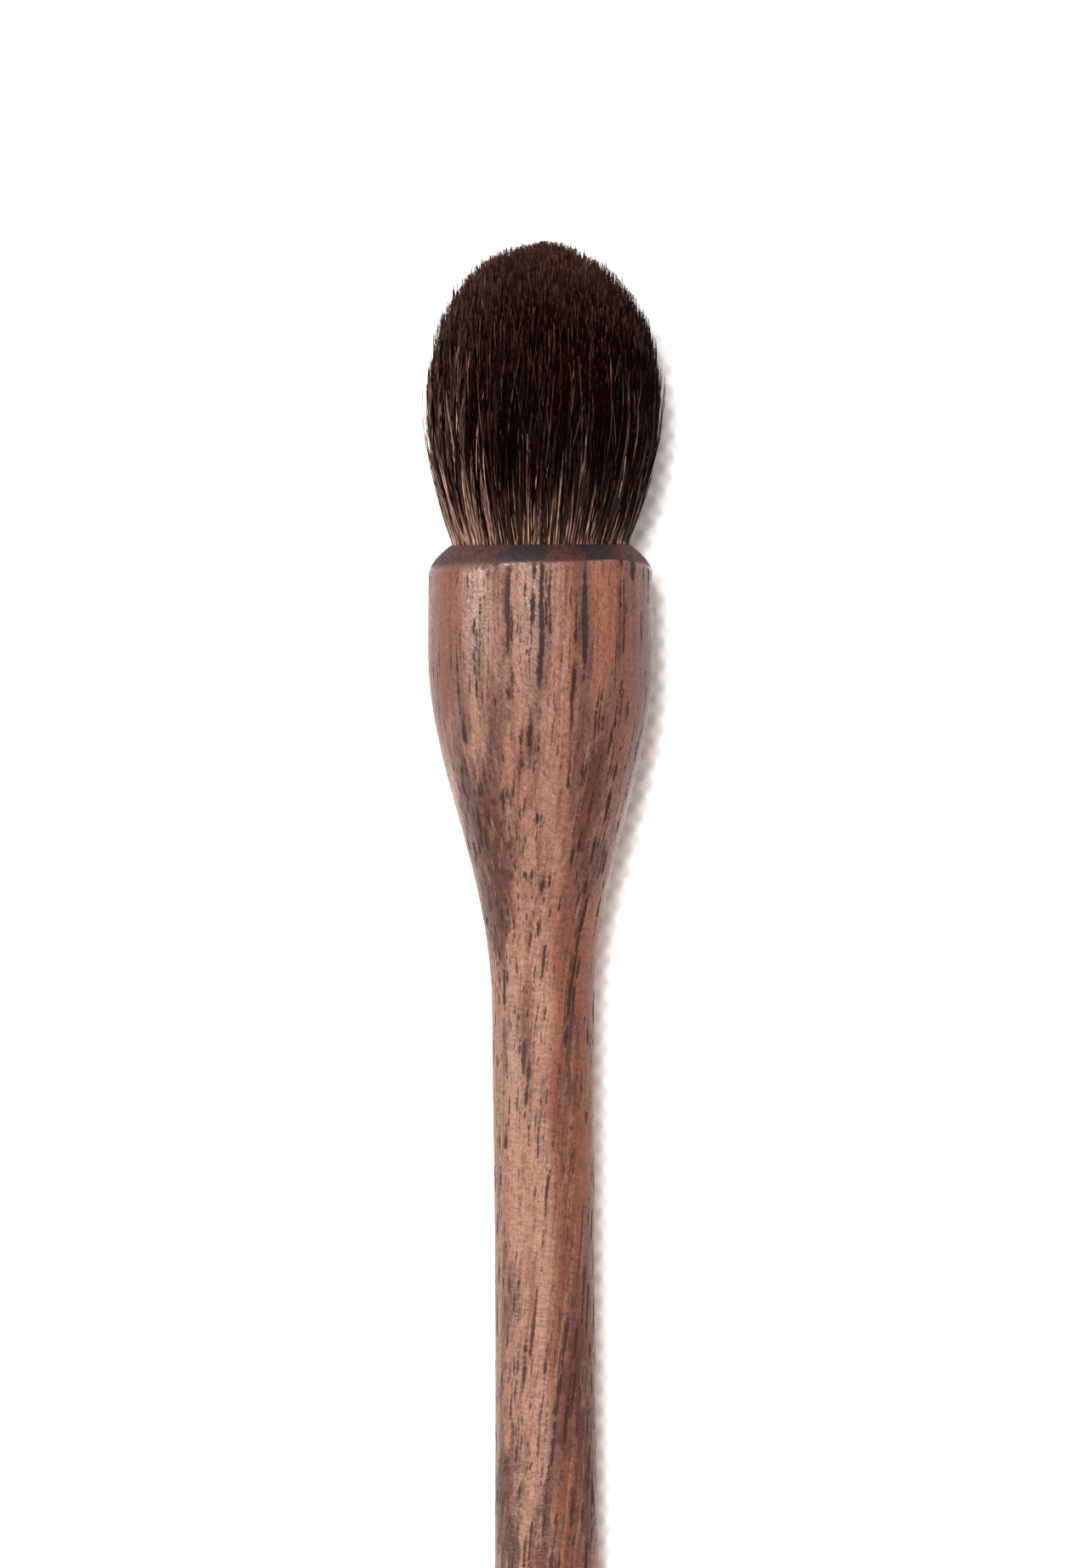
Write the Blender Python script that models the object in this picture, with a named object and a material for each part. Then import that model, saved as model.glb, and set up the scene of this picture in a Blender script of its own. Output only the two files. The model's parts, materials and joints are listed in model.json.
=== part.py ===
"""An eye makeup brush that lies on a table: a turned walnut handle with a natural-hair tuft set in its head.

Each piece is turned or grown about its own +Z, from the handle's tail (z = 0) up to the tip of the hair.
An empty then lays the whole brush down along +Y, resting on the widest ring of the head and on the tail.
Lengths are in metres, and the world origin is on the table under the middle of the brush.
"""

import math

import bmesh
import bpy
from mathutils import Vector

MM = 0.001
TURN = 2 * math.pi

# Handle, from the tail to the rim that the hair stands in
HANDLE_LENGTH = 126.0 * MM
TAIL_FLAT_RADIUS = 2.0 * MM
TAIL_SWELL = 0.7 * MM
TAIL_ROUND_LENGTH = 12.0 * MM
STEM_RADIUS = 3.1 * MM
STEM_LENGTH = 14.0 * MM
NECK_SWELL = 0.08 * MM
BELL_LENGTH = 22.7 * MM
BARREL_LENGTH = 5.0 * MM
BARREL_SWELL = 0.12 * MM

# Rim and socket at the head of the handle
BORE_RADIUS = 5.4 * MM
DRILL_POINT_ANGLE = math.radians(118)
RIM_LAND = 0.18 * MM
RIM_CHAMFER_WIDTH = 1.3 * MM
RIM_CHAMFER_HEIGHT = 1.54 * MM

# Hair that stands out of the rim
HAIR_LENGTH = 18.9 * MM
HAIR_FLARE = 2.0 * MM
HAIR_WIDEST_HEIGHT = 9.2 * MM
HAIR_DOME_HEIGHT = 9.2 * MM
HAIR_LEAN = 0.35 * MM

# Slice of glued hair that the strands stand on, and the potted root below it
BACKING_THICKNESS = 1.2 * MM
ROOT_COLLAR_LENGTH = 1.6 * MM
ROOT_EDGE_BEVEL = 0.4 * MM

# Thread wound round the root
THREAD_RADIUS = 0.25 * MM
THREAD_SPACE = 0.45 * MM
THREAD_TURNS = 5

# Clearances
FIT_GAP = 0.15 * MM
WELD_DISTANCE = 0.0001 * MM

# Counts
FACETS = 32
TAIL_STEPS = 8
TAPER_STEPS = 10
STEM_STEPS = 4
BELL_STEPS = 14
BARREL_STEPS = 4
HAIR_RINGS = 8
HEX_SIDES = 6
THREAD_POINTS_PER_TURN = 16
RESTING_PASSES = 4
SHARP_ANGLE = math.radians(30)

# Shares of each strand's cell, and of the free hair above its widest height
STRAND_CLEAR_SHARE = 0.80
STRAND_FULL_SHARE = 0.76
STRAND_TAPER_SHARE = 0.60
LOWER_LEVEL_SHARE = 0.36
UPPER_LEVEL_SHARE = 0.70
CORNER_SHARE = 0.18

# Above 1, the bell stays slim for longer as it leaves the neck
BELL_LATENESS = 1.1

RIM_RADIUS = BORE_RADIUS + RIM_LAND
SHOULDER_RADIUS = RIM_RADIUS + RIM_CHAMFER_WIDTH
HEAD_RADIUS = SHOULDER_RADIUS + BARREL_SWELL
NECK_RADIUS = STEM_RADIUS + NECK_SWELL
TAIL_RADIUS = STEM_RADIUS + TAIL_SWELL
HEAD_HEIGHT = HANDLE_LENGTH - RIM_CHAMFER_HEIGHT - BARREL_LENGTH
NECK_HEIGHT = HEAD_HEIGHT - BELL_LENGTH
STEM_HEIGHT = NECK_HEIGHT - STEM_LENGTH
ROOT_RADIUS = BORE_RADIUS - FIT_GAP
HAIR_RADIUS = ROOT_RADIUS + HAIR_FLARE
HAIR_DOME_START = HAIR_LENGTH - HAIR_DOME_HEIGHT
BACKING_BOTTOM = HANDLE_LENGTH - BACKING_THICKNESS

# The winding fills the root's waist, whose turned flats stay clear of the straight runs of the thread
THREAD_PITCH = 2 * THREAD_RADIUS + THREAD_SPACE
THREAD_CENTRE_RADIUS = ROOT_RADIUS - THREAD_RADIUS
THREAD_INNER_RADIUS = THREAD_CENTRE_RADIUS * math.cos(math.pi / THREAD_POINTS_PER_TURN) - THREAD_RADIUS
ROOT_WAIST_RADIUS = THREAD_INNER_RADIUS - FIT_GAP
ROOT_TOP = BACKING_BOTTOM - FIT_GAP
WAIST_TOP = ROOT_TOP - ROOT_COLLAR_LENGTH
WAIST_BOTTOM = WAIST_TOP - (THREAD_TURNS + 1) * THREAD_PITCH
ROOT_BOTTOM = WAIST_BOTTOM - ROOT_COLLAR_LENGTH
BORE_BOTTOM = ROOT_BOTTOM - FIT_GAP


def wave(share):
    """A smooth rise from 0 to 1, level at both ends."""
    return (1 - math.cos(math.pi * share)) / 2


def eased(start, end, count, lateness=1.0):
    """Points (radius, height) after start and up to end, along a level-ended S-curve."""
    points = []
    for step in range(1, count + 1):
        share = step / count
        radius = start[0] + (end[0] - start[0]) * wave(share ** lateness)
        points.append((radius, start[1] + (end[1] - start[1]) * share))
    return points


def quarter_round(start, end, count):
    """Points after start and up to end, along a quarter ellipse that leaves start outwards."""
    points = []
    for step in range(1, count + 1):
        angle = math.pi / 2 * step / count
        radius = start[0] + (end[0] - start[0]) * math.sin(angle)
        points.append((radius, start[1] + (end[1] - start[1]) * (1 - math.cos(angle))))
    return points


def eased_corner(before, corner, after):
    """The corner cut back a little to both sides, so that it reads as a sanded edge."""
    back = Vector(corner).lerp(Vector(before), CORNER_SHARE)
    ahead = Vector(corner).lerp(Vector(after), CORNER_SHARE)
    return [tuple(back), tuple(ahead)]


def handle_outline():
    """Half section of the handle: up its outside from the tail, over the rim and down into the socket."""
    tail_flat = (TAIL_FLAT_RADIUS, 0.0)
    tail = (TAIL_RADIUS, TAIL_ROUND_LENGTH)
    stem = (STEM_RADIUS, STEM_HEIGHT)
    neck = (NECK_RADIUS, NECK_HEIGHT)
    head = (HEAD_RADIUS, HEAD_HEIGHT)
    shoulder = (SHOULDER_RADIUS, HANDLE_LENGTH - RIM_CHAMFER_HEIGHT)
    rim = (RIM_RADIUS, HANDLE_LENGTH)
    mouth = (BORE_RADIUS, HANDLE_LENGTH)
    drill_point = BORE_RADIUS / math.tan(DRILL_POINT_ANGLE / 2)

    outline = [(0.0, 0.0), tail_flat]
    outline += quarter_round(tail_flat, tail, TAIL_STEPS)
    outline += eased(tail, stem, TAPER_STEPS)
    outline += eased(stem, neck, STEM_STEPS)
    outline += eased(neck, head, BELL_STEPS, BELL_LATENESS)
    barrel = barrel_points(head, shoulder)
    outline += barrel[:-1]
    outline += eased_corner(barrel[-2], shoulder, rim)
    outline += [rim, mouth]
    outline += [(BORE_RADIUS, BORE_BOTTOM), (0.0, BORE_BOTTOM - drill_point)]
    return outline


def barrel_points(head, shoulder):
    """The gentle draw-in between the widest ring of the head and the shoulder under the rim."""
    points = []
    for step in range(1, BARREL_STEPS + 1):
        share = step / BARREL_STEPS
        radius = head[0] + (shoulder[0] - head[0]) * (1 - math.cos(math.pi / 2 * share))
        points.append((radius, head[1] + (shoulder[1] - head[1]) * share))
    return points


def material(name, colour, roughness, metallic=0.0):
    """A Principled material. Nothing on this brush is metal."""
    made = bpy.data.materials.new(name)
    made.use_nodes = True
    shader = made.node_tree.nodes["Principled BSDF"]
    shader.inputs["Base Color"].default_value = (*colour, 1.0)
    shader.inputs["Roughness"].default_value = roughness
    shader.inputs["Metallic"].default_value = metallic
    return made


def placed(name, data, axis, finish):
    """A new object of this mesh or curve, on the brush's axis."""
    obj = bpy.data.objects.new(name, data)
    bpy.context.scene.collection.objects.link(obj)
    obj.parent = axis
    obj.data.materials.append(finish)
    return obj


def turned(name, outline, axis, finish):
    """The outline spun about +Z. A flat of the turning, not an edge, faces +Y, which lies on the table."""
    start = Vector((math.cos(TURN / FACETS / 2), math.sin(TURN / FACETS / 2), 0.0))
    bm = bmesh.new()
    verts = [bm.verts.new(start * radius + Vector((0.0, 0.0, height))) for radius, height in outline]
    edges = [bm.edges.new(pair) for pair in zip(verts, verts[1:])]
    bmesh.ops.spin(
        bm,
        geom=verts + edges,
        cent=(0, 0, 0),
        axis=(0, 0, 1),
        angle=TURN,
        steps=FACETS,
        use_merge=True,
        use_duplicate=False,
    )
    bmesh.ops.remove_doubles(bm, verts=bm.verts, dist=WELD_DISTANCE)
    bmesh.ops.recalc_face_normals(bm, faces=bm.faces)
    mesh = bpy.data.meshes.new(name)
    bm.to_mesh(mesh)
    bm.free()
    mesh.shade_smooth()
    mesh.set_sharp_from_angle(angle=SHARP_ANGLE)
    return placed(name, mesh, axis, finish)


def hair_envelope(height):
    """Radius of the outermost hair at this height over the rim."""
    share = min(max(height, 0.0) / HAIR_WIDEST_HEIGHT, 1.0)
    return ROOT_RADIUS + HAIR_FLARE * math.sin(math.pi / 2 * share)


def hair_tip(share):
    """Height over the rim where a hair ends, for its share of the way out from the axis."""
    return HAIR_DOME_START + HAIR_DOME_HEIGHT * math.sqrt(max(0.0, 1 - share * share))


def hair_place(root, height):
    """Where the hair that stands on this point of the root disc is at this height over the rim."""
    spread = hair_envelope(height) / ROOT_RADIUS
    lean = HAIR_LEAN * math.sin(math.pi / 2 * max(height, 0.0) / HAIR_LENGTH)
    return Vector((root.x * spread + lean, root.y * spread, HANDLE_LENGTH + height))


def root_cells():
    """The root disc as rings of points and the triangles between them, all of like size."""
    points = [Vector((0.0, 0.0, HANDLE_LENGTH))]
    starts = [0]
    for ring in range(1, HAIR_RINGS + 1):
        starts.append(len(points))
        radius = ROOT_RADIUS * ring / HAIR_RINGS
        for step in range(HEX_SIDES * ring):
            angle = TURN * step / (HEX_SIDES * ring)
            points.append(Vector((radius * math.cos(angle), radius * math.sin(angle), HANDLE_LENGTH)))
    cells = []
    for ring in range(1, HAIR_RINGS + 1):
        outer = range(starts[ring], starts[ring] + HEX_SIDES * ring)
        inner = range(starts[ring - 1], starts[ring])
        for side in range(HEX_SIDES):
            for step in range(ring):
                here = outer[side * ring + step]
                after = outer[(side * ring + step + 1) % len(outer)]
                below = inner[(side * (ring - 1) + step) % len(inner)]
                cells.append((here, after, below))
                if step < ring - 1:
                    beside = inner[(side * (ring - 1) + step + 1) % len(inner)]
                    cells.append((below, after, beside))
    return points, cells


def strand_levels(tip):
    """Heights over the rim, each with the share of its cell that the strand fills there."""
    upper = HAIR_WIDEST_HEIGHT + (tip - HAIR_WIDEST_HEIGHT) * UPPER_LEVEL_SHARE
    return [
        (HAIR_WIDEST_HEIGHT * LOWER_LEVEL_SHARE, STRAND_CLEAR_SHARE),
        (HAIR_WIDEST_HEIGHT, STRAND_FULL_SHARE),
        (upper, STRAND_TAPER_SHARE),
    ]


def grow_strand(bm, root):
    """One strand over the three corners of its cell: rings of three points, and a pointed end."""
    centre = sum((vert.co for vert in root), Vector()) / len(root)
    tip = hair_tip(centre.xy.length / ROOT_RADIUS)
    ring = root
    for height, share in strand_levels(tip):
        upper = [bm.verts.new(hair_place(centre.lerp(vert.co, share), height)) for vert in root]
        for corner in range(len(root)):
            after = (corner + 1) % len(root)
            bm.faces.new((ring[corner], ring[after], upper[after], upper[corner]))
        ring = upper
    point = bm.verts.new(hair_place(centre, tip))
    for corner in range(len(root)):
        bm.faces.new((ring[corner], ring[(corner + 1) % len(root)], point))


def hair_tuft(axis, finish):
    """Strands of hair, each grown out of its own cell of one glued slice and tapering to a point."""
    points, cells = root_cells()
    bm = bmesh.new()
    top = [bm.verts.new(point) for point in points]
    for cell in cells:
        grow_strand(bm, [top[number] for number in cell])
    edge = top[-HEX_SIDES * HAIR_RINGS:]
    lower = [bm.verts.new((vert.co.x, vert.co.y, BACKING_BOTTOM)) for vert in edge]
    for number, vert in enumerate(edge):
        after = (number + 1) % len(edge)
        bm.faces.new((vert, lower[number], lower[after], edge[after]))
    bm.faces.new(lower)
    bmesh.ops.recalc_face_normals(bm, faces=bm.faces)
    mesh = bpy.data.meshes.new("hair_tuft")
    bm.to_mesh(mesh)
    bm.free()
    return placed("hair_tuft", mesh, axis, finish)


def root_plug(axis, finish):
    """The potted root of the hair: a bevelled plug with a waist that the thread lies in."""
    outline = [
        (0.0, ROOT_BOTTOM),
        (ROOT_RADIUS - ROOT_EDGE_BEVEL, ROOT_BOTTOM),
        (ROOT_RADIUS, ROOT_BOTTOM + ROOT_EDGE_BEVEL),
        (ROOT_RADIUS, WAIST_BOTTOM),
        (ROOT_WAIST_RADIUS, WAIST_BOTTOM),
        (ROOT_WAIST_RADIUS, WAIST_TOP),
        (ROOT_RADIUS, WAIST_TOP),
        (ROOT_RADIUS, ROOT_TOP),
        (0.0, ROOT_TOP),
    ]
    return turned("root_plug", outline, axis, finish)


def thread_route():
    """Points along the thread, which is one helix, half a pitch clear of both ends of the waist."""
    route = []
    for step in range(THREAD_TURNS * THREAD_POINTS_PER_TURN + 1):
        angle = TURN * step / THREAD_POINTS_PER_TURN
        height = WAIST_BOTTOM + THREAD_PITCH / 2 + THREAD_PITCH * step / THREAD_POINTS_PER_TURN
        across = Vector((math.cos(angle), math.sin(angle), 0.0)) * THREAD_CENTRE_RADIUS
        route.append(across + Vector((0.0, 0.0, height)))
    return route


def least_thread_gap(route):
    """The least gap between a point of the thread and the turns beside it."""
    gap = math.inf
    for number, point in enumerate(route):
        for other in route[number + THREAD_POINTS_PER_TURN // 2:]:
            gap = min(gap, (other - point).length - 2 * THREAD_RADIUS)
    return gap


def root_binding(axis, finish):
    """The waxed thread that ties the roots of the hair together."""
    route = thread_route()
    print(f"root_binding: least gap to itself {least_thread_gap(route) / MM:.2f} mm")
    curve = bpy.data.curves.new("root_binding", "CURVE")
    curve.dimensions = "3D"
    curve.bevel_depth = THREAD_RADIUS
    curve.bevel_resolution = 0
    curve.use_fill_caps = True
    spline = curve.splines.new("POLY")
    spline.points.add(len(route) - 1)
    for place, point in zip(spline.points, route):
        place.co = (*point, 1.0)
    return placed("root_binding", curve, axis, finish)


def socket_glue(axis, finish):
    """The glue that fills the drilled cone under the root."""
    depth = ROOT_RADIUS / math.tan(DRILL_POINT_ANGLE / 2)
    outline = [(0.0, BORE_BOTTOM - depth), (ROOT_RADIUS, BORE_BOTTOM), (0.0, BORE_BOTTOM)]
    return turned("socket_glue", outline, axis, finish)


def resting_tilt():
    """The tilt at which one straight line lies under the tail and under the head, or wider hair."""
    flat_share = math.cos(TURN / FACETS / 2)
    points = [(radius * flat_share, height) for radius, height in handle_outline()]
    points.append((HAIR_RADIUS, HANDLE_LENGTH + HAIR_WIDEST_HEIGHT))
    rear = [point for point in points if point[1] < STEM_HEIGHT]
    front = [point for point in points if point[1] > STEM_HEIGHT]
    slope = 0.0
    for _ in range(RESTING_PASSES):
        tail = max(rear, key=lambda point: point[0] - slope * point[1])
        head = max(front, key=lambda point: point[0] - slope * point[1])
        slope = (head[0] - tail[0]) / (head[1] - tail[1])
    return math.atan(slope)


def lay_down(axis, pieces):
    """Turns the brush's +Z to +Y, tipped so that it touches the table at both ends, and centres it there."""
    axis.rotation_euler = (resting_tilt() - math.pi / 2, 0.0, 0.0)
    low, high = corners_of(pieces)
    axis.location = (-(low.x + high.x) / 2, -(low.y + high.y) / 2, -low.z)


def corners_of(pieces):
    """Lowest and highest corner of these objects in the world."""
    bpy.context.view_layer.update()
    graph = bpy.context.evaluated_depsgraph_get()
    low = Vector((math.inf,) * 3)
    high = -low
    for obj in pieces:
        evaluated = obj.evaluated_get(graph)
        mesh = evaluated.to_mesh()
        for vert in mesh.vertices:
            place = evaluated.matrix_world @ vert.co
            low = Vector(map(min, low, place))
            high = Vector(map(max, high, place))
        evaluated.to_mesh_clear()
    return low, high


def clear_scene():
    """Removes what the open file holds, such as the startup cube."""
    for obj in list(bpy.data.objects):
        bpy.data.objects.remove(obj)


def main():
    clear_scene()
    axis = bpy.data.objects.new("brush_axis", None)
    bpy.context.scene.collection.objects.link(axis)

    walnut = material("walnut", (0.34, 0.17, 0.115), 0.42)
    hair = material("brown_hair", (0.045, 0.022, 0.015), 0.55)
    resin = material("root_resin", (0.55, 0.36, 0.16), 0.25)
    thread = material("waxed_thread", (0.72, 0.66, 0.55), 0.65)
    glue = material("socket_glue", (0.80, 0.74, 0.58), 0.30)

    pieces = [
        turned("handle", handle_outline(), axis, walnut),
        hair_tuft(axis, hair),
        root_plug(axis, resin),
        root_binding(axis, thread),
        socket_glue(axis, glue),
    ]
    lay_down(axis, pieces)
    bpy.context.view_layer.update()
    butt = axis.matrix_world @ Vector((0.0, 0.0, 0.0))
    along = (axis.matrix_world.to_3x3() @ Vector((0.0, 0.0, 1.0))).normalized()
    print("butt face at", [round(value, 6) for value in butt])
    print("hair points along", [round(value, 6) for value in along])


main()
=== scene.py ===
"""Looks of an eye makeup brush that lies on a table: a turned walnut handle and a domed tuft of hair.

Each piece is drawn in brush space first: the handle's tail is at the origin, +Z runs towards the hair,
and -Y is the side that faces up as the brush lies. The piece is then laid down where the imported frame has
the brush. Lengths are in metres, but for the settings' defaults and the patterns of the materials, which
are in millimetres.
"""

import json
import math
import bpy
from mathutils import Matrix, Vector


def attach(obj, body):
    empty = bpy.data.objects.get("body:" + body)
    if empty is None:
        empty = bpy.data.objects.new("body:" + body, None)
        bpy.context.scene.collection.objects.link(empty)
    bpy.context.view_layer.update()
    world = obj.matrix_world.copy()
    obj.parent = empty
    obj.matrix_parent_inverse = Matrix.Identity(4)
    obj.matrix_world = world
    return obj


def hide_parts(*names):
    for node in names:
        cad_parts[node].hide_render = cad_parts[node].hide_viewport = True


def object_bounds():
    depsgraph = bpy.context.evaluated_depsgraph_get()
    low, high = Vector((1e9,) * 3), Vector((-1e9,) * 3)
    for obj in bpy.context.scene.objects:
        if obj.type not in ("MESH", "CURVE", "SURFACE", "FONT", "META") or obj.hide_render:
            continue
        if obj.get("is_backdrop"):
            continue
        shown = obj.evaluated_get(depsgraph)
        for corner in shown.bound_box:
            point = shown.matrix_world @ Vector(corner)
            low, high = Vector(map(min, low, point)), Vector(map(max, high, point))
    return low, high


bl_info = {
    "name": "Eye Makeup Brush",
    "version": (1, 0, 0),
    "blender": (4, 5, 0),
    "location": "View3D > Sidebar > Makeup Brush",
    "description": "Dresses a packed eye makeup brush in turned walnut and natural hair",
    "category": "Object",
}

import bpy
from mathutils import Matrix, Vector

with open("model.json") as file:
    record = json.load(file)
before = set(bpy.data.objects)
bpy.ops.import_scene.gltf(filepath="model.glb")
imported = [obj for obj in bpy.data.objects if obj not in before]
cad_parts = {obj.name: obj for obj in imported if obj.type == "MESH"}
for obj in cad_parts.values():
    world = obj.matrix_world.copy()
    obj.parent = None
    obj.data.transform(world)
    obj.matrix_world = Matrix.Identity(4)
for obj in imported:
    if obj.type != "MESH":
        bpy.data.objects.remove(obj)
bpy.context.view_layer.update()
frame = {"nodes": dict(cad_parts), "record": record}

MM = 0.001
TURN = 2 * math.pi
HALF = (0.5, 0.5, 0.5)
BODY = "root"

BUTT = next(mount for mount in frame["record"]["mounts"] if mount["name"] == "butt_end")
BUTT_PLACE = Vector(BUTT["pos_m"])
ALONG = -Vector(BUTT["axis"]).normalized()
LAY_TURN = Vector((0.0, 0.0, 1.0)).rotation_difference(ALONG)
LAY_DOWN = Matrix.Translation(BUTT_PLACE) @ LAY_TURN.to_matrix().to_4x4()
UP_FROM_TABLE = LAY_TURN.inverted() @ Vector((0.0, 0.0, 1.0))


def screen(red, green, blue):
    """A colour as a screen shows it, in steps of 255, turned into the linear values that shaders use."""
    values = []
    for step in (red, green, blue):
        share = step / 255
        values.append(share / 12.92 if share <= 0.04045 else ((share + 0.055) / 1.055) ** 2.4)
    return tuple(values)


# Settings

def setting(kind, name, description, default, low=0.0, **more):
    """A value that a user may change."""
    return kind(name=name, description=description, default=default, min=low, **more)


def length(name, description, millimetres):
    """A length, given in millimetres."""
    kind = bpy.props.FloatProperty
    metres = millimetres * MM
    return setting(kind, name, description, metres, precision=5, subtype="DISTANCE", unit="LENGTH")


def share(name, description, default):
    """A plain share from 0 to 1."""
    return setting(bpy.props.FloatProperty, name, description, default, max=1.0, subtype="FACTOR")


def colour(name, description, default):
    """A colour."""
    kind = bpy.props.FloatVectorProperty
    return setting(kind, name, description, default, max=1.0, size=3, subtype="COLOR")


def count(name, description, default, low=1):
    """A whole number."""
    return setting(bpy.props.IntProperty, name, description, default, low=low)


def power(name, description, default):
    """The power of a lamp, in watts."""
    return setting(bpy.props.FloatProperty, name, description, default, unit="POWER")


def gain(name, description, default):
    """A plain number to multiply by, or to raise to."""
    return setting(bpy.props.FloatProperty, name, description, default, soft_max=4.0)


def angle(name, description, degrees):
    """An angle, given in degrees."""
    kind = bpy.props.FloatProperty
    radians = math.radians(degrees)
    return setting(kind, name, description, radians, low=-TURN, subtype="ANGLE", unit="ROTATION")


class HandleSettings(bpy.types.PropertyGroup):
    """Sizes and colours of the turned handle."""

    handle_length: length("Length", "From the tail to the rim that the hair stands in", 126.0)
    tail_flat_radius: length("Tail flat", "Radius of the sanded flat at the tail", 2.0)
    tail_radius: length("Tail", "Radius where the tail is thickest", 3.8)
    tail_length: length("Tail round", "Length of the rounded tail", 12.0)
    stem_radius: length("Stem", "Radius where the stem is thinnest", 3.1)
    stem_length: length("Stem length", "From the thinnest place to the neck", 14.0)
    neck_radius: length("Neck", "Radius where the bell starts", 3.18)
    bell_length: length("Bell", "Length of the swell from the neck to the head", 22.7)
    bell_lateness: gain("Bell lateness", "Above 1, the bell stays slim for longer above the neck", 1.1)
    head_radius: length("Head", "Radius of the widest ring", 7.0)
    barrel_length: length("Barrel", "From the widest ring to the shoulder", 5.0)
    shoulder_radius: length("Shoulder", "Radius under the sanded rim", 6.93)
    rim_radius: length("Rim", "Outer radius of the rim", 5.58)
    rim_height: length("Rim slope", "Height of the sanded slope at the rim", 1.54)
    rim_crown: length("Rim crown", "How far the sanded slope bulges", 0.17)
    bore_radius: length("Bore", "Radius of the socket", 5.4)
    bore_depth: length("Bore depth", "Depth of the socket's wall", 10.4)
    drill_depth: length("Drill point", "Depth of the cone under the wall", 3.245)
    edge_sway: length("Edge sway", "How far the hand-sanded edge of the rim wanders", 0.3)
    edge_easing: length("Eased edge", "Size of the rounding at the sanded edges", 0.28)
    sides: count("Sides", "Facets round the handle", 176, low=24)
    pale_wood: colour("Pale wood", "Lightest bands of the walnut", screen(190, 141, 114))
    warm_wood: colour("Warm wood", "Orange-brown bands", screen(164, 108, 86))
    rose_wood: colour("Rosy wood", "Pink-brown bands", screen(174, 127, 110))
    red_wood: colour("Red wood", "Red-brown bands", screen(140, 82, 62))
    dusk_wood: colour("Dusky wood", "Purple-brown bands", screen(124, 86, 78))
    stain: colour("Stain", "Wood round an open pore, where the oil has crept in", screen(88, 50, 40))
    pore_ink: colour("Pores", "Open pores that the oil has darkened", screen(44, 28, 28))
    end_grain: colour("End grain", "Cut ends at the rim and the tail", screen(76, 37, 30))
    burnt: colour("Burnt end", "Where the end grain rubbed the tool and darkened", screen(22, 16, 24))


class HairSettings(bpy.types.PropertyGroup):
    """Sizes and colours of the hair."""

    root_radius: length("Root", "Radius of the hair where it leaves the socket", 5.36)
    root_depth: length("Root depth", "How deep the free hair starts in the socket", 1.0)
    slice_depth: length("Glued slice", "Thickness of the slice of glued hair", 1.2)
    slice_recess: length("Slice recess", "How far the glue lies under the rim", 0.5)
    hair_length: length("Length", "Free hair over the rim", 18.9)
    flare: length("Flare", "How far the hair spreads from its root", 1.87)
    widest_height: length("Widest height", "Height over the rim where the hair is widest", 9.2)
    dome_height: length("Dome", "Height of the domed end", 9.4)
    lean: length("Lean", "How far the hair leans to the side", 0.35)
    thickness: length("Hair radius", "Radius of a common hair", 0.038)
    uneven_ends: length("Uneven ends", "How much shorter a hair may be than the dome", 0.5)
    notch: length("Notches", "How much shorter a whole lock may be", 0.3)
    mixing: share("Mixing", "How far a hair works its way in or out among the others", 0.16)
    weaving: share("Weaving", "How far a hair dips under the others along its way", 0.14)
    lock_spread: length("Locks", "How far hairs gather into locks", 0.34)
    lock_size: length("Lock size", "Width of a lock of hair", 1.5)
    stray: length("Stray", "How far a single hair leaves its place", 0.5)
    sweep: length("Sweep", "How far hairs are swept round the tuft", 2.6)
    crossing: length("Crossing", "How far a few crossing hairs are swept round the tuft", 4.0)
    hairs: count("Hairs", "Hairs in the tuft", 15000, low=100)
    guard_hairs: count("Guard hairs", "Coarse pale hairs near the outside", 1300, low=0)
    flyaways: count("Loose hairs", "Hairs that stand off the outside", 220, low=0)
    tint_columns: count("Tints", "Different tints of hair in each layer", 32, low=4)
    dark_hair: colour("Dark hair", "Most of the hair", screen(19, 4, 2))
    # Brown hairs, partly their own colour and partly greyed as painted sheen
    brown_hair: colour("Brown hair", "Lighter hairs between the dark ones", screen(100, 67, 59))
    guard_hair: colour("Guard hair", "A few coarse pale hairs", screen(200, 166, 146))
    pale_root: colour("Pale roots", "The light foot of some hairs", screen(212, 165, 140))
    # The tips' colour is painted light: the light that shines through the thin ends
    tip_light_through: colour("Tips", "Thin ends that let light through", screen(140, 96, 82))


class RootSettings(bpy.types.PropertyGroup):
    """Sizes and colours of the hidden root: its resin, its thread and the glue under it."""

    thread_radius: length("Thread", "Radius of the thread", 0.25)
    coil_radius: length("Coil", "Radius of the thread's middle line", 5.0)
    coil_pitch: length("Pitch", "Rise of the thread in one turn", 0.95)
    coil_bottom: length("Coil start", "Height of the thread's lower end over the tail", 117.825)
    coil_turns: count("Turns", "Turns of the thread", 5)
    ply_twist: length("Ply twist", "Length of one twist of the plies", 1.6)
    resin: colour("Resin", "Amber potting resin", screen(190, 150, 92))
    thread: colour("Thread", "Waxed linen thread", screen(216, 206, 188))
    glue: colour("Glue", "Cured glue", screen(224, 214, 184))


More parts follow.
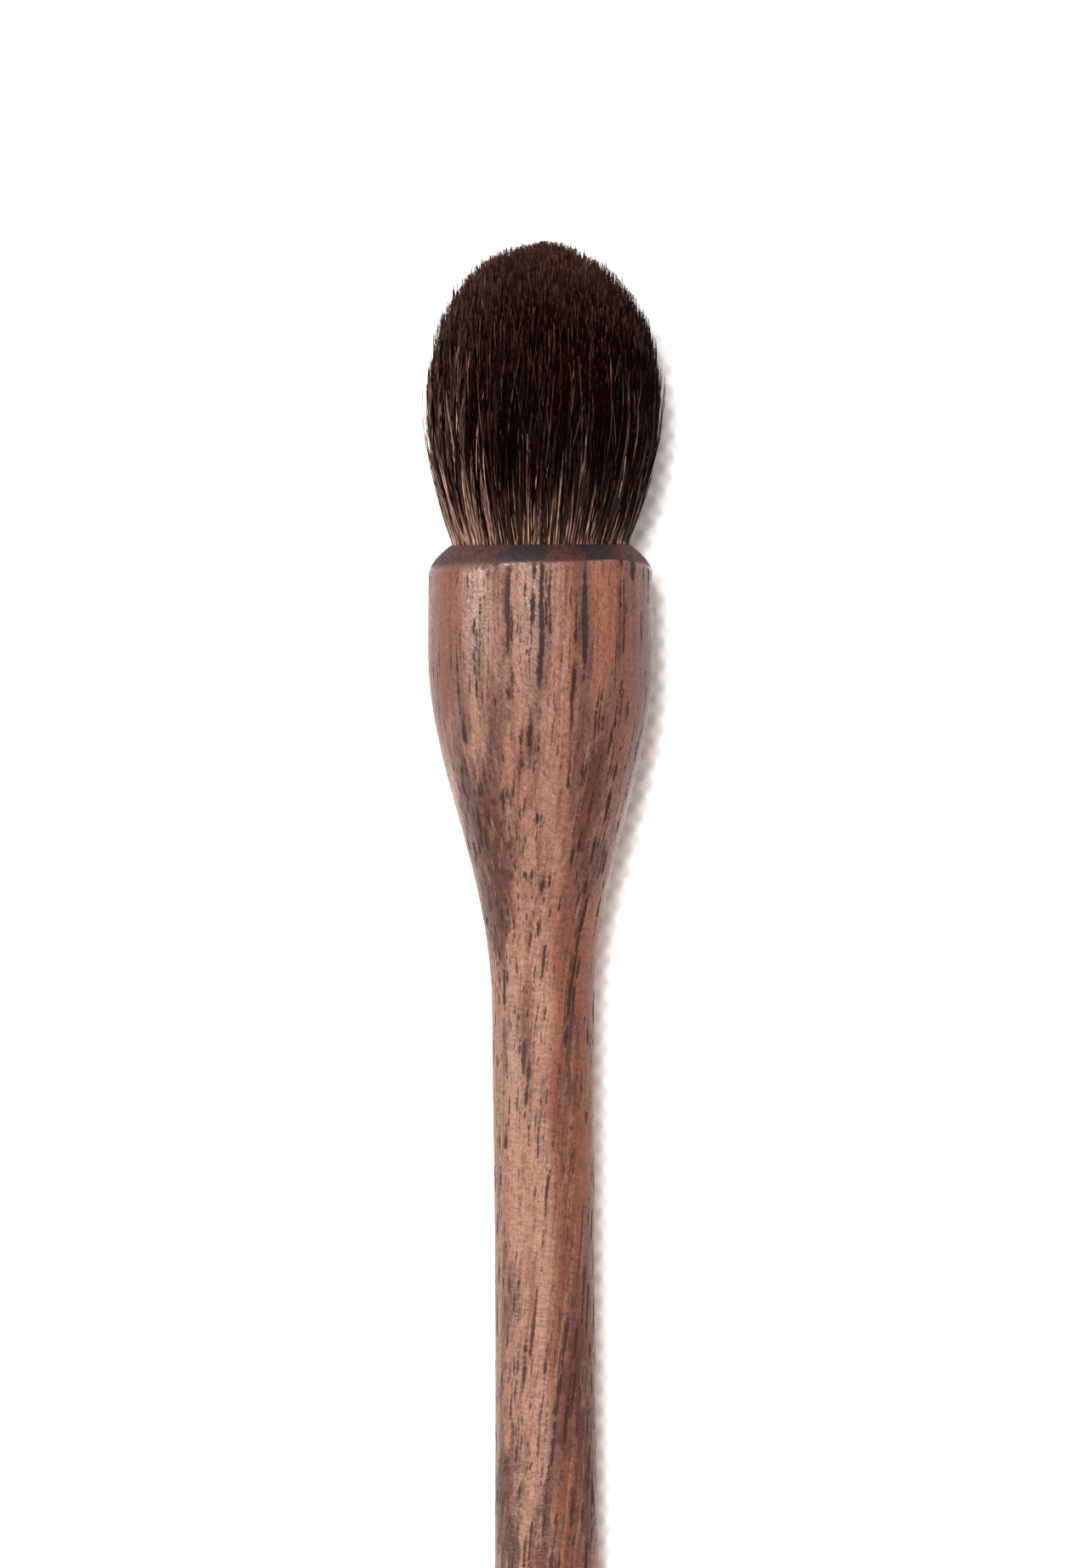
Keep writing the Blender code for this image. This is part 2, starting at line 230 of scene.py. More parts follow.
class StageSettings(bpy.types.PropertyGroup):
    """The cloth, the lights and the camera."""

    cloth: colour("Cloth", "The cloth under the brush", (0.93, 0.92, 0.91))
    cloth_size: length("Cloth size", "Width of the square cloth", 680.0)
    cloth_gain: gain("Cloth whiteness", "How many times brighter the camera sees the cloth", 1.9)
    weave_pitch: length("Weave", "Distance over two threads of the cloth", 1.37)
    weave_depth: length("Weave depth", "How far the threads stand up", 0.045)
    room: colour("Room", "Colour of the light from all round", (1.0, 0.93, 0.88))
    world_light: share("Room light", "Light from all round", 0.34)
    key_light: power("Key light", "Power of the lamp overhead", 2.6)
    window_light: power("Window light", "Power of the window to the left, which only glints", 4.2)
    centre_height: length("View centre", "Place along the brush that the camera looks at", 111.2)
    view_side: length("View side", "How far the camera stands to the right", 0.17)
    view_width: length("View length", "Length of the brush that fits in the picture", 97.2)
    view_distance: length("Camera distance", "From the camera to the brush", 700.0)
    view_elevation: angle("Elevation", "Camera angle above the table", 89.0)
    view_roll: angle("Roll", "How far the picture is turned", 0.37)


# Drawing node trees

class Wire:
    """An output to draw on from. Each sign, and each word below, adds a node."""

    def __init__(self, sketch, socket):
        self.sketch = sketch
        self.socket = socket
        self.is_vector = socket.type in ("VECTOR", "RGBA")

    def step(self, operation, other):
        """One step of arithmetic, on numbers or on vectors."""
        draw = self.sketch.vector if self.is_vector else self.sketch.math
        return draw(operation, self, other)

    def __add__(self, other):
        return self.step("ADD", other)

    def __sub__(self, other):
        return self.step("SUBTRACT", other)

    def __mul__(self, other):
        """Times another, where a vector times a number is the vector made longer or shorter."""
        by_number = isinstance(other, float) or isinstance(other, Wire) and not other.is_vector
        if self.is_vector and by_number:
            inputs = {"Vector": self, "Scale": other}
            return self.sketch.node("ShaderNodeVectorMath", inputs, operation="SCALE")[0]
        return self.step("MULTIPLY", other)

    def __truediv__(self, other):
        return self.step("DIVIDE", other)

    def __pow__(self, other):
        return self.step("POWER", other)

    def at_least(self, other):
        """The larger of the two."""
        return self.step("MAXIMUM", other)

    def at_most(self, other):
        """The smaller of the two."""
        return self.step("MINIMUM", other)

    def sine(self):
        """The sine of an angle."""
        return self.sketch.math("SINE", self)

    def cosine(self):
        """The cosine of an angle."""
        return self.sketch.math("COSINE", self)

    def span(self, low, high, to_low=0.0, to_high=1.0, smooth=True):
        """The number moved from one span to another, level beyond both ends."""
        inputs = {"Value": self, "From Min": low, "From Max": high, "To Min": to_low, "To Max": to_high}
        way = "SMOOTHSTEP" if smooth else "LINEAR"
        return self.sketch.node("ShaderNodeMapRange", inputs, interpolation_type=way)[0]


class Sketch:
    """Short words for drawing a node tree. Inputs are wires to link, or plain values."""

    def __init__(self, tree):
        self.tree = tree

    def new_node(self, kind, inputs, settings):
        """A new node of this kind, with its settings made and its inputs fed."""
        made = self.tree.nodes.new(kind)
        for name, value in settings.items():
            setattr(made, name, value)
        self.feed(made, inputs)
        return made

    def feed(self, node, inputs):
        """Links or writes a node's inputs, which are named or numbered."""
        for key, value in inputs.items():
            if isinstance(key, int):
                found = node.inputs[key]
            else:
                found = next(socket for socket in node.inputs if socket.name == key and socket.enabled)
            if isinstance(value, Wire):
                self.tree.links.new(value.socket, found)
            elif found.type == "RGBA":
                found.default_value = (*value, 1.0)
            else:
                found.default_value = value

    def wires(self, node):
        """A node's outputs, by number and by name."""
        found = {}
        for number, socket in enumerate(node.outputs):
            found[number] = Wire(self, socket)
            found.setdefault(socket.name, found[number])
        return found

    def node(self, kind, inputs=None, **settings):
        """The outputs of a new node."""
        return self.wires(self.new_node(kind, inputs or {}, settings))

    def math(self, operation, *values, clamp=False):
        """One step of arithmetic on numbers."""
        return self.node("ShaderNodeMath", dict(enumerate(values)), operation=operation, use_clamp=clamp)[0]

    def vector(self, operation, *values):
        """One step of arithmetic on places, directions or colours."""
        made = self.node("ShaderNodeVectorMath", dict(enumerate(values)), operation=operation)
        gives_number = operation in ("LENGTH", "DOT_PRODUCT")
        return made[1] if gives_number else made[0]

    def combine(self, x, y, z):
        """Three numbers as one vector."""
        return self.node("ShaderNodeCombineXYZ", {0: x, 1: y, 2: z})[0]

    def parts(self, vector):
        """The three numbers of a vector."""
        made = self.node("ShaderNodeSeparateXYZ", {0: vector})
        return made[0], made[1], made[2]

    def heading(self, angle):
        """The level direction at this angle round the brush."""
        return self.combine(angle.cosine(), angle.sine(), 0.0)

    def mix(self, share, low, high):
        """A number between two others."""
        return self.node("ShaderNodeMix", {"Factor": share, "A": low, "B": high})[0]

    def paint(self, share, under, over, blend="MIX"):
        """One colour laid over another."""
        inputs = {"Factor": share, "A": under, "B": over}
        return self.node("ShaderNodeMix", inputs, data_type="RGBA", blend_type=blend)[2]

    def shade(self, tint, amount):
        """A colour times a number."""
        return self.paint(1.0, tint, self.combine(amount, amount, amount), blend="MULTIPLY")

    def ramp(self, value, stops):
        """A row of colours that a number picks from, given from its low end to its high end."""
        made = self.new_node("ShaderNodeValToRGB", {"Fac": value}, {})
        elements = made.color_ramp.elements
        while len(elements) < len(stops):
            elements.new(0.5)
        for element, (position, tint) in zip(elements, stops):
            element.position = position
            element.color = (*tint, 1.0)
        return self.wires(made)[0]

    def noise(self, place, scale=1.0, detail=2.0, roughness=0.5):
        """Soft noise, as its number and its colour."""
        inputs = {"Vector": place, "Scale": scale, "Detail": detail, "Roughness": roughness}
        made = self.node("ShaderNodeTexNoise", inputs)
        return made[0], made[1]

    def bump(self, height, distance, strength=1.0):
        """The normal of a skin with this relief."""
        return self.node("ShaderNodeBump", {"Strength": strength, "Distance": distance, "Height": height})[0]

    def lines(self, amount, steps):
        """Straight lines in one place, each of this many points: the lines, and the number of each."""
        line = self.node("GeometryNodeCurvePrimitiveLine")[0]
        finer = self.node("GeometryNodeResampleCurve", {"Curve": line, "Count": steps})[0]
        inputs = {"Geometry": finer, "Amount": amount}
        many = self.node("GeometryNodeDuplicateElements", inputs, domain="SPLINE")
        return many[0], many["Duplicate Index"]

    def share_along(self):
        """How far along its line a point is."""
        return self.node("GeometryNodeSplineParameter")["Factor"]

    def keep(self, geometry, title, value):
        """Geometry that carries a number along: the geometry, and the number as it was here."""
        made = self.new_node("GeometryNodeCaptureAttribute", {"Geometry": geometry}, {})
        made.capture_items.new("FLOAT", title)
        self.feed(made, {1: value})
        found = self.wires(made)
        return found[0], found[1]

    def ring(self, sides):
        """A circle of radius 1 with this many sides."""
        return self.node("GeometryNodeCurvePrimitiveCircle", {"Resolution": sides, "Radius": 1.0})[0]

    def moved(self, geometry, place):
        """Geometry with its points at new places."""
        return self.node("GeometryNodeSetPosition", {"Geometry": geometry, "Position": place})[0]

    def tubes(self, lines, ring, radius):
        """Closed tubes along lines."""
        inputs = {"Curve": lines, "Profile Curve": ring, "Scale": radius, "Fill Caps": True}
        return self.node("GeometryNodeCurveToMesh", inputs)[0]

    def mapped(self, geometry, across, up):
        """A mesh with its places on the bake map."""
        inputs = {"Geometry": geometry, "Name": "OFBake", "Value": self.combine(across, up, 0.0)}
        return self.node("GeometryNodeStoreNamedAttribute", inputs, data_type="FLOAT2", domain="CORNER")[0]


def new_tree(name, inputs):
    """A Geometry Nodes tree with these named inputs: its sketch, its inputs and its output node."""
    tree = bpy.data.node_groups.new(name, "GeometryNodeTree")
    tree.interface.new_socket("Geometry", in_out="INPUT", socket_type="NodeSocketGeometry")
    for title, kind, default in inputs:
        made = tree.interface.new_socket(title, in_out="INPUT", socket_type="NodeSocket" + kind)
        if default is not None:
            made.default_value = default
    tree.interface.new_socket("Geometry", in_out="OUTPUT", socket_type="NodeSocketGeometry")
    sketch = Sketch(tree)
    return sketch, sketch.node("NodeGroupInput"), tree.nodes.new("NodeGroupOutput")


def end_tree(sketch, geometry, material, output):
    """The last nodes of every tree: smooth and real geometry, with its material."""
    smooth = sketch.node("GeometryNodeSetShadeSmooth", {"Geometry": geometry})[0]
    real = sketch.node("GeometryNodeRealizeInstances", {"Geometry": smooth})[0]
    painted = sketch.node("GeometryNodeSetMaterial", {"Geometry": real, "Material": material})[0]
    sketch.feed(output, {0: painted})
    return sketch.tree


def placed(thing):
    """A new object for a mesh, lamp or camera, in the scene under the same name."""
    made = bpy.data.objects.new(thing.name, thing)
    bpy.context.scene.collection.objects.link(made)
    return made


def grown(name, tree, values, start=None):
    """The plain mesh that a tree makes with these values, laid down with the brush, as an object."""
    seed = placed(start or bpy.data.meshes.new(name + "_start"))
    modifier = seed.modifiers.new(name, "NODES")
    modifier.node_group = tree
    for item in tree.interface.items_tree:
        if item.in_out == "INPUT" and item.name in values:
            modifier[item.identifier] = values[item.name]
    graph = bpy.context.evaluated_depsgraph_get()
    mesh = bpy.data.meshes.new_from_object(seed.evaluated_get(graph), depsgraph=graph)
    bpy.data.objects.remove(seed)
    mesh.name = name
    mesh.transform(LAY_DOWN)
    return placed(mesh)


# Outlines of turned pieces

TAIL_STEPS = 28
STEM_STEPS = 44
NECK_STEPS = 12
BELL_STEPS = 36
BARREL_STEPS = 14
SLOPE_STEPS = 8
CORNER_STEPS = 6
FLAT_STEP = 0.5 * MM
WALL_STEP = 0.8 * MM
WELD_DISTANCE = 0.0001 * MM
SHARP_ANGLE = math.radians(32.0)

# How the rim's edge wanders round the handle
SWAY_SEED = 3.0
RIPPLE_SCALE = 2.2
RIPPLE_SHARE = 0.4
CREST_SHARE = 1.2

# How far under the shoulder the wood still follows the wandering edge, and how much of the rim is still
SWAY_FADE = 2.0 * MM
STILL_RIM = 0.02 * MM


def outline_mesh(name, points):
    """The half section of a turned piece as a chain of edges, with where each point is on the bake map."""
    mesh = bpy.data.meshes.new(name)
    places = [(radius, 0.0, height) for radius, height, *_ in points]
    links = [(number, number + 1) for number in range(len(points) - 1)]
    mesh.from_pydata(places, links, [])
    for column, title in enumerate(("sway", "map_left", "map_right", "map_up"), start=2):
        attribute = mesh.attributes.new(title, "FLOAT", "POINT")
        attribute.data.foreach_set("value", [point[column] for point in points])
    return mesh


def turning_tree():
    """A half section spun about the brush's axis, with a wandering edge where the outline says so."""
    inputs = (
        ("Sides", "Int", 64),
        ("Edge sway", "Float", 0.0),
        ("Sway seed", "Float", 0.0),
        ("Material", "Material", None),
    )
    sketch, given, output = new_tree("turning", inputs)
    outline = given["Geometry"]
    rows = sketch.node("GeometryNodeAttributeDomainSize", {"Geometry": outline})["Point Count"]
    grid = {"Size X": 1.0, "Size Y": 1.0, "Vertices X": given["Sides"] + 1.0, "Vertices Y": rows}
    sheet = sketch.node("GeometryNodeMeshGrid", grid)["Mesh"]
    place = sketch.node("GeometryNodeInputPosition")[0]
    across, upward, _ = sketch.parts(place)
    turn = across + 0.5
    row = sketch.math("ROUND", (upward + 0.5) * (rows - 1.0))

    def at_row(value, kind):
        """What the outline has at this row."""
        inputs = {"Geometry": outline, "Value": value, "Index": row}
        return sketch.node("GeometryNodeSampleIndex", inputs, data_type=kind)[0]

    def carried(title):
        """A number that the outline carries at this row."""
        stored = sketch.node("GeometryNodeInputNamedAttribute", {"Name": title}, data_type="FLOAT")[0]
        return at_row(stored, "FLOAT")

    map_across = sketch.mix(turn, carried("map_left"), carried("map_right"))
    mapped = sketch.mapped(sheet, map_across, carried("map_up"))
    radius, _, height = sketch.parts(at_row(place, "FLOAT_VECTOR"))
    angle = turn * TURN + TURN / 4
    cosine = angle.cosine()
    sine = angle.sine()
    ring = sketch.combine(cosine, sine, given["Sway seed"])
    ripple = sketch.noise(ring, scale=RIPPLE_SCALE)[0] - 0.5
    broad = cosine * sine * -2.0
    wander = broad ** 3.0 + ripple * RIPPLE_SHARE + sine * sine * CREST_SHARE
    sway = wander * given["Edge sway"] * carried("sway")
    spun = sketch.moved(mapped, sketch.combine(radius * cosine, radius * sine, height + sway))
    closed = sketch.node("GeometryNodeMergeByDistance", {"Geometry": spun, "Distance": WELD_DISTANCE})[0]
    return end_tree(sketch, closed, given["Material"], output)


def wave(part):
    """A smooth rise from 0 to 1, level at both ends."""
    return (1 - math.cos(math.pi * part)) / 2


def quarter_wave(part):
    """A rise from 0 to 1 that starts level."""
    return 1 - math.cos(math.pi / 2 * part)


def curved(start, end, steps, bend):
    """Points after start and up to end. The bend gives how far across each is, from how far along."""
    points = []
    for step in range(1, steps + 1):
        part = step / steps
        radius = start[0] + (end[0] - start[0]) * bend(part)
        points.append((radius, start[1] + (end[1] - start[1]) * part))
    return points


def rounded_end(start, end, steps):
    """Points after start and up to end, along a quarter ellipse that leaves start outwards."""
    points = []
    for step in range(1, steps + 1):
        angle = math.pi / 2 * step / steps
        radius = start[0] + (end[0] - start[0]) * math.sin(angle)
        points.append((radius, start[1] + (end[1] - start[1]) * (1 - math.cos(angle))))
    return points


def eased_edge(before, corner, after, size, steps=4):
    """A corner rounded off by this size, as points of a curve that leaves both sides smoothly."""
    middle = Vector(corner)
    into = middle + (Vector(before) - middle).normalized() * size
    out = middle + (Vector(after) - middle).normalized() * size
    points = []
    for step in range(steps + 1):
        part = step / steps
        points.append(tuple(into.lerp(middle, part).lerp(middle.lerp(out, part), part)))
    return points


def even_steps(start, end, step_length):
    """Points after start and before end, on the straight line between them."""
    span = (Vector(end) - Vector(start)).length
    steps = max(1, round(span / step_length))
    return [tuple(Vector(start).lerp(Vector(end), step / steps)) for step in range(1, steps)]


def handle_outline(size):
    """Half section of the handle, in the three parts that its bake map has: stem, head and socket."""
    tail_flat = (size.tail_flat_radius, 0.0)
    tail = (size.tail_radius, size.tail_length)
    shoulder_height = size.handle_length - size.rim_height
    head_height = shoulder_height - size.barrel_length
    neck_height = head_height - size.bell_length
    stem = (size.stem_radius, neck_height - size.stem_length)
    neck = (size.neck_radius, neck_height)
    head = (size.head_radius, head_height)
    shoulder = (size.shoulder_radius, shoulder_height)
    rim = (size.rim_radius, size.handle_length)
    mouth = (size.bore_radius, size.handle_length)
    wall_end = (size.bore_radius, size.handle_length - size.bore_depth)
    point = (0.0, wall_end[1] - size.drill_depth)
    easing = size.edge_easing

    stem_part = [(0.0, 0.0)]
    stem_part += even_steps((0.0, 0.0), tail_flat, FLAT_STEP)
    rounding = rounded_end(tail_flat, tail, TAIL_STEPS)
    stem_part += eased_edge((0.0, 0.0), tail_flat, rounding[2], easing)
    stem_part += rounding[2:]
    stem_part += curved(tail, stem, STEM_STEPS, wave)

    head_part = [stem]
    head_part += curved(stem, neck, NECK_STEPS, wave)
    head_part += curved(neck, head, BELL_STEPS, lambda part: wave(part ** size.bell_lateness))
    barrel = curved(head, shoulder, BARREL_STEPS, quarter_wave)[:-1]
    head_part += barrel
    slope = [shoulder]
    for step in range(1, SLOPE_STEPS + 1):
        part = step / SLOPE_STEPS
        radius = shoulder[0] + (rim[0] - shoulder[0]) * part + size.rim_crown * math.sin(math.pi * part)
        slope.append((radius, shoulder[1] + size.rim_height * part))
    head_part += eased_edge(barrel[-1], shoulder, slope[2], easing, CORNER_STEPS)
    head_part += slope[2:-1]
    head_part += eased_edge(slope[-2], rim, mouth, easing / 4)

    socket_part = [head_part[-1]]
    socket_part += eased_edge(rim, mouth, wall_end, easing / 4)
    socket_part += even_steps(mouth, wall_end, WALL_STEP)[1:]
    socket_part += [wall_end]
    socket_part += even_steps(wall_end, point, WALL_STEP)
    socket_part += [point]
    return stem_part, head_part, socket_part


def level(radius, height):
    """No sway anywhere."""
    return 0.0


def mapped_outline(parts, boxes, sway_of=level):
    """The outline's points, each with its sway and its place on the bake map, part by part."""
    points = []
    for part, (left, right, low, high) in zip(parts, boxes):
        lengths = [0.0]
        for before, after in zip(part, part[1:]):
            lengths.append(lengths[-1] + (Vector(after) - Vector(before)).length)
        for (radius, height), along in zip(part, lengths):
            up = low + (high - low) * along / lengths[-1]
            points.append((radius, height, sway_of(radius, height), left, right, up))
    return points


# The wood's figure, in millimetres of brush space

# Heights over the tail: where the head starts, from which the fibres lean, and where the bell starts
HEAD_FOOT = 106.0
BELL_FOOT = 98.0

# The fibres lean a little everywhere, and lean and sink more below the head, where the bend is soft
UPRIGHT_HEIGHT = 118.0
LEAN_EVERYWHERE = 0.03
LEAN_BELOW_HEAD = 0.08
SINK_BELOW_HEAD = 0.03
BEND_SOFTNESS = 10.0

# The bands reach this far to each side, and slant by this share of the depth under the upper side
BAND_REACH = 10.0
BAND_SLANT = 0.28
UPPER_SIDE = 7.0

# Each noise: how often it turns across and along the fibres, its detail and its roughness
WOOD_NOISES = {
    "slow wander": (0.12, 0.035, 1.0, 0.5),
    "quick wander": (0.5, 0.3, 1.0, 0.5),
    "ragged wander": (6.5, 3.2, 2.0, 0.8),
    "bands": (0.2, 0.07, 2.0, 0.5),
    "drift": (0.9, 0.35, 2.0, 0.6),
    "crowds": (0.5, 0.07, 3.0, 0.6),
    "mottle": (2.0, 0.9, 3.0, 0.7),
    "streaks": (1.9, 0.11, 3.0, 0.65),
    "growth lines": (2.9, 0.06, 3.0, 0.7),
    "fibres": (5.0, 1.1, 3.0, 0.7),
    "grit": (6.0, 5.0, 2.0, 0.7),
    "speckle": (3.5, 3.5, 3.0, 0.75),
}

# How far each noise pushes the fibres from their lines
WANDERS = (("slow wander", 1.8), ("quick wander", 0.5), ("ragged wander", 0.3))

# Patches in the wood: the centre of each, and how far it reaches each way
# A pale patch at the top left of the head: partly the wood's own colour and partly a painted highlight
PALE_AND_HIGHLIGHT_PATCHES = (
    ((-2.5, -6.6, 121.5), (1.3, 3.0, 6.5)),
)
DUSKY_PATCHES = (
    ((-3.7, -3.0, 107.0), (2.8, 4.0, 13.0)),
    ((3.0, -4.5, 108.0), (1.6, 3.5, 11.0)),
    ((1.6, -3.0, 93.0), (0.8, 2.0, 10.0)),
    ((2.2, -2.0, 72.0), (1.5, 3.0, 13.0)),
    ((0.1, -3.0, 64.0), (0.9, 2.0, 6.0)),
    ((-2.5, -1.5, 66.0), (0.9, 2.0, 6.0)),
)
CLEAR_PATCHES = (
    ((0.3, -7.0, 120.0), (2.6, 4.0, 9.0)),
    ((-0.8, -3.0, 88.0), (1.8, 3.0, 18.0)),
)
BURNT_PATCHES = (
    ((-0.8, -6.0, 125.0), (2.0, 2.5, 9.0)),
    ((3.7, -5.5, 125.0), (1.9, 2.5, 9.0)),
)
PATCH_HEART = 0.35

# How far the outlines of the patches drift
PATCH_DRIFT = (3.0, 3.0, 7.0)

# Kinds of pores: how far apart, their radius, how long they stay open, and the share that shows
BROAD_PORES = (0.52, 0.11, 8.0, 0.85)
MIDDLE_PORES = (0.29, 0.056, 3.0, 0.85)
FINE_PORES = (0.18, 0.04, 1.6, 0.9)
PORE_ENDS = (0.4, 0.58)
PORE_WIDTHS = (0.5, 1.3)
PORE_SHORTENING = 1.2
PORE_SOFTNESS = 0.05
HALO_REACH = 1.6
HALO_SOFTNESS = 2.5

# Each pore opens along a line of its own in the noise, this many times as far off as its cell
PORE_STRIDE = 17.3


def new_material(name):
    """A Principled material, its sketch and its shader."""
    made = bpy.data.materials.new(name)
    made.use_nodes = True
    return made, Sketch(made.node_tree), made.node_tree.nodes["Principled BSDF"]


def brush_millimetres(sketch):
    """Places in brush space, in millimetres."""
    seen = sketch.node("ShaderNodeTexCoord")["Object"]
    inputs = {"Vector": seen, "Location": BUTT_PLACE, "Rotation": LAY_TURN.to_euler(), "Scale": (MM, MM, MM)}
    return sketch.node("ShaderNodeMapping", inputs, vector_type="TEXTURE")[0]


def wood_noise(sketch, title, place):
    """One of the wood's noises, as its number and its colour."""
    across, along, detail, roughness = WOOD_NOISES[title]
    return sketch.noise(place * (across, across, along), detail=detail, roughness=roughness)


def patches(sketch, place, spots):
    """Soft patches in the wood: 1 round their centres, and 0 from their reach on."""
    found = None
    for centre, reach in spots:
        away = (place - centre) * tuple(1.0 / way for way in reach)
        patch = sketch.vector("LENGTH", away).span(PATCH_HEART, 1.0, 1.0, 0.0)
        found = patch if found is None else found.at_least(patch)
    return found


def fibre_places(sketch, place):
    """Places measured along the fibres, which wander, lean below the head and half follow the bell."""
    x, y, z = sketch.parts(place)
    below_head = sketch.math("SMOOTH_MIN", z - HEAD_FOOT, 0.0, BEND_SOFTNESS)
    lean = (z - UPRIGHT_HEIGHT) * LEAN_EVERYWHERE + below_head * LEAN_BELOW_HEAD
    sink = below_head * SINK_BELOW_HEAD
    follow = z.span(97.0, 119.0, 1.5, 1.0)
    fibres = sketch.combine((x - lean) * follow, (y - sink) * follow, z)
    for title, reach in WANDERS:
        push = wood_noise(sketch, title, place)[1] - HALF
        fibres = fibres + push * (reach, reach, 0.0)
    return fibres


def pores(sketch, grain, crowding, kind):
    """Open pores that run with the fibres and are cut where the surface meets them, and their stain.

    Each pore is a long tube that opens and closes along its run. Where the surface runs along the fibres
    it is cut into a long line, and where the surface slopes across them into a short dash. Pores below the
    head are shorter.
    """
    spacing, radius, run, shown = kind
    x, y, z = sketch.parts(grain)
    inputs = {"Vector": sketch.combine(x / spacing, y / spacing, 0.0), "Scale": 1.0}
    cells = sketch.node("ShaderNodeTexVoronoi", inputs, voronoi_dimensions="2D", feature="F1")
    luck, other_luck, _ = sketch.parts(cells["Color"])
    own_x, own_y, _ = sketch.parts(cells["Position"])
    z = z + (z - HEAD_FOOT).at_most(0.0) * PORE_SHORTENING
    own_place = sketch.combine(own_x * PORE_STRIDE, own_y * PORE_STRIDE, z / run)
    opening = sketch.noise(own_place, detail=4.0, roughness=0.72)[0].span(*PORE_ENDS)
    wide = luck.span(0.0, 1.0, *PORE_WIDTHS, smooth=False) * (radius / spacing) * opening * crowding
    wide = wide * sketch.math("LESS_THAN", other_luck, shown)
    away = cells["Distance"]
    soft = PORE_SOFTNESS / spacing
    core = sketch.math("DIVIDE", wide - away, soft, clamp=True)
    halo = sketch.math("DIVIDE", wide * HALO_REACH - away, HALO_SOFTNESS * soft, clamp=True)
    return core, halo


def walnut_material(size):
    """Oiled walnut as a solid figure, cut by the surface: bands, patches, lines, pores and end grain."""
    made, sketch, shader = new_material("oiled_walnut")
    paint = sketch.paint
    place = brush_millimetres(sketch)
    x, y, z = sketch.parts(place)
    grain = fibre_places(sketch, place)
    pale, warm, rose = size.pale_wood, size.warm_wood, size.rose_wood
    red, dusk, stain = size.red_wood, size.dusk_wood, size.stain

    # Bands across the brush. Down the stem, the left side, which faces the lamps, turns pale and the right
    # side red: partly the wood's own bands and partly painted light and painted shade
    slow = wood_noise(sketch, "bands", place)[0]
    band = x + (y + UPPER_SIDE) * BAND_SLANT + slow.span(0.2, 0.8, -0.6, 0.6, smooth=False)
    stops = (
        (0.0, warm), (0.12, dusk), (0.17, warm), (0.2, red), (0.265, red), (0.28, warm), (0.295, rose),
        (0.33, pale), (0.355, rose), (0.375, dusk), (0.395, dusk), (0.41, rose), (0.57, rose), (0.59, warm),
        (0.615, dusk), (0.66, dusk), (0.68, warm), (0.75, warm), (0.77, red), (0.82, red), (0.85, dusk),
        (0.9, stain),
    )
    wood = sketch.ramp(band.span(-BAND_REACH, BAND_REACH, smooth=False), stops)
    on_stem = z.span(BELL_FOOT, 108.0, 1.0, 0.0)
    stem_side_to_shade = x + slow.span(0.3, 0.7, -0.5, 0.5, smooth=False)
    # Painted light on the stem's left side and painted shade on its right, over the wood's own bands
    wood = paint(stem_side_to_shade.span(-0.2, 0.9, 0.6, 0.0) * on_stem, wood, pale)
    wood = paint(stem_side_to_shade.span(0.4, 1.4, 0.0, 0.8) * on_stem, wood, red)
    # Rose wood over the top left of the head, partly a painted highlight
    wood = paint(patches(sketch, place, PALE_AND_HIGHLIGHT_PATCHES) * 0.75, wood, rose)

    # Dusky wood: a mottled knot at the left of the neck, and patches in the head and down the stem
    drift = (wood_noise(sketch, "drift", place)[1] - HALF) * PATCH_DRIFT
    loose_place = place + drift
    dusky = patches(sketch, loose_place, DUSKY_PATCHES)
    clear = patches(sketch, loose_place, CLEAR_PATCHES)
    crowd = wood_noise(sketch, "crowds", grain)[0] + dusky * 0.2 - clear * 0.06
    crowd = crowd + z.span(64.0, 88.0, 0.07, 0.0)
    mottle = wood_noise(sketch, "mottle", grain)[0] + dusky * 0.16
    streak = wood_noise(sketch, "streaks", grain)[0]
    for figure, low, high, from_share, to_share, tint in (
        (crowd, 0.5, 0.68, 0.0, 0.9, dusk),
        (crowd, 0.62, 0.78, 0.0, 0.75, stain),
        (mottle, 0.61, 0.71, 0.0, 0.7, stain),
        (streak, 0.52, 0.64, 0.0, 0.55, red),
        (streak, 0.36, 0.46, 0.35, 0.0, pale),
    ):
        wood = paint(figure.span(low, high, from_share, to_share), wood, tint)

    # Growth lines and fine fibres, and the small grains of the figure
    growth = wood_noise(sketch, "growth lines", grain)[0]
    wood = paint(growth.span(0.56, 0.62) * z.span(BELL_FOOT, 112.0, 0.22, 0.4), wood, stain)
    fibre = wood_noise(sketch, "fibres", grain)[0]
    wood = paint(fibre.span(0.52, 0.64, 0.0, 0.2), wood, stain)
    slant = x * z.span(BELL_FOOT, 114.0, 0.1, 0.5)
    tight = z.span(BELL_FOOT, 114.0, 1.7, 3.4)
    curl_place = sketch.combine(x * tight, y * tight, (z + slant) * 3.9)
    curl = sketch.noise(curl_place, roughness=0.6)[0]
    grit = wood_noise(sketch, "grit", place)[0]
    wood = sketch.shade(wood, grit.span(0.35, 0.65, 0.83, 1.15) + curl.span(0.3, 0.7, -0.15, 0.15))

    # Pores, which are darker in the head than down the stem
    crowding = crowd.span(0.34, 0.6, 0.5, 1.4) * z.span(97.0, 112.0, 1.25, 1.22)
    broad_core, broad_halo = pores(sketch, grain, crowding, BROAD_PORES)
    middle_core, middle_halo = pores(sketch, grain, crowding, MIDDLE_PORES)
    fine_core, _ = pores(sketch, grain, crowding, FINE_PORES)
    halo = broad_halo.at_least(middle_halo).at_least(fine_core)
    core = broad_core.at_least(middle_core * 0.9)
    wood = paint(halo * 0.7, wood, stain)
    blackness = z.span(92.0, 110.0, 0.62, 0.94) * grit.span(0.35, 0.6, 0.65, 1.0)
    wood = paint(core * blackness, wood, size.pore_ink)

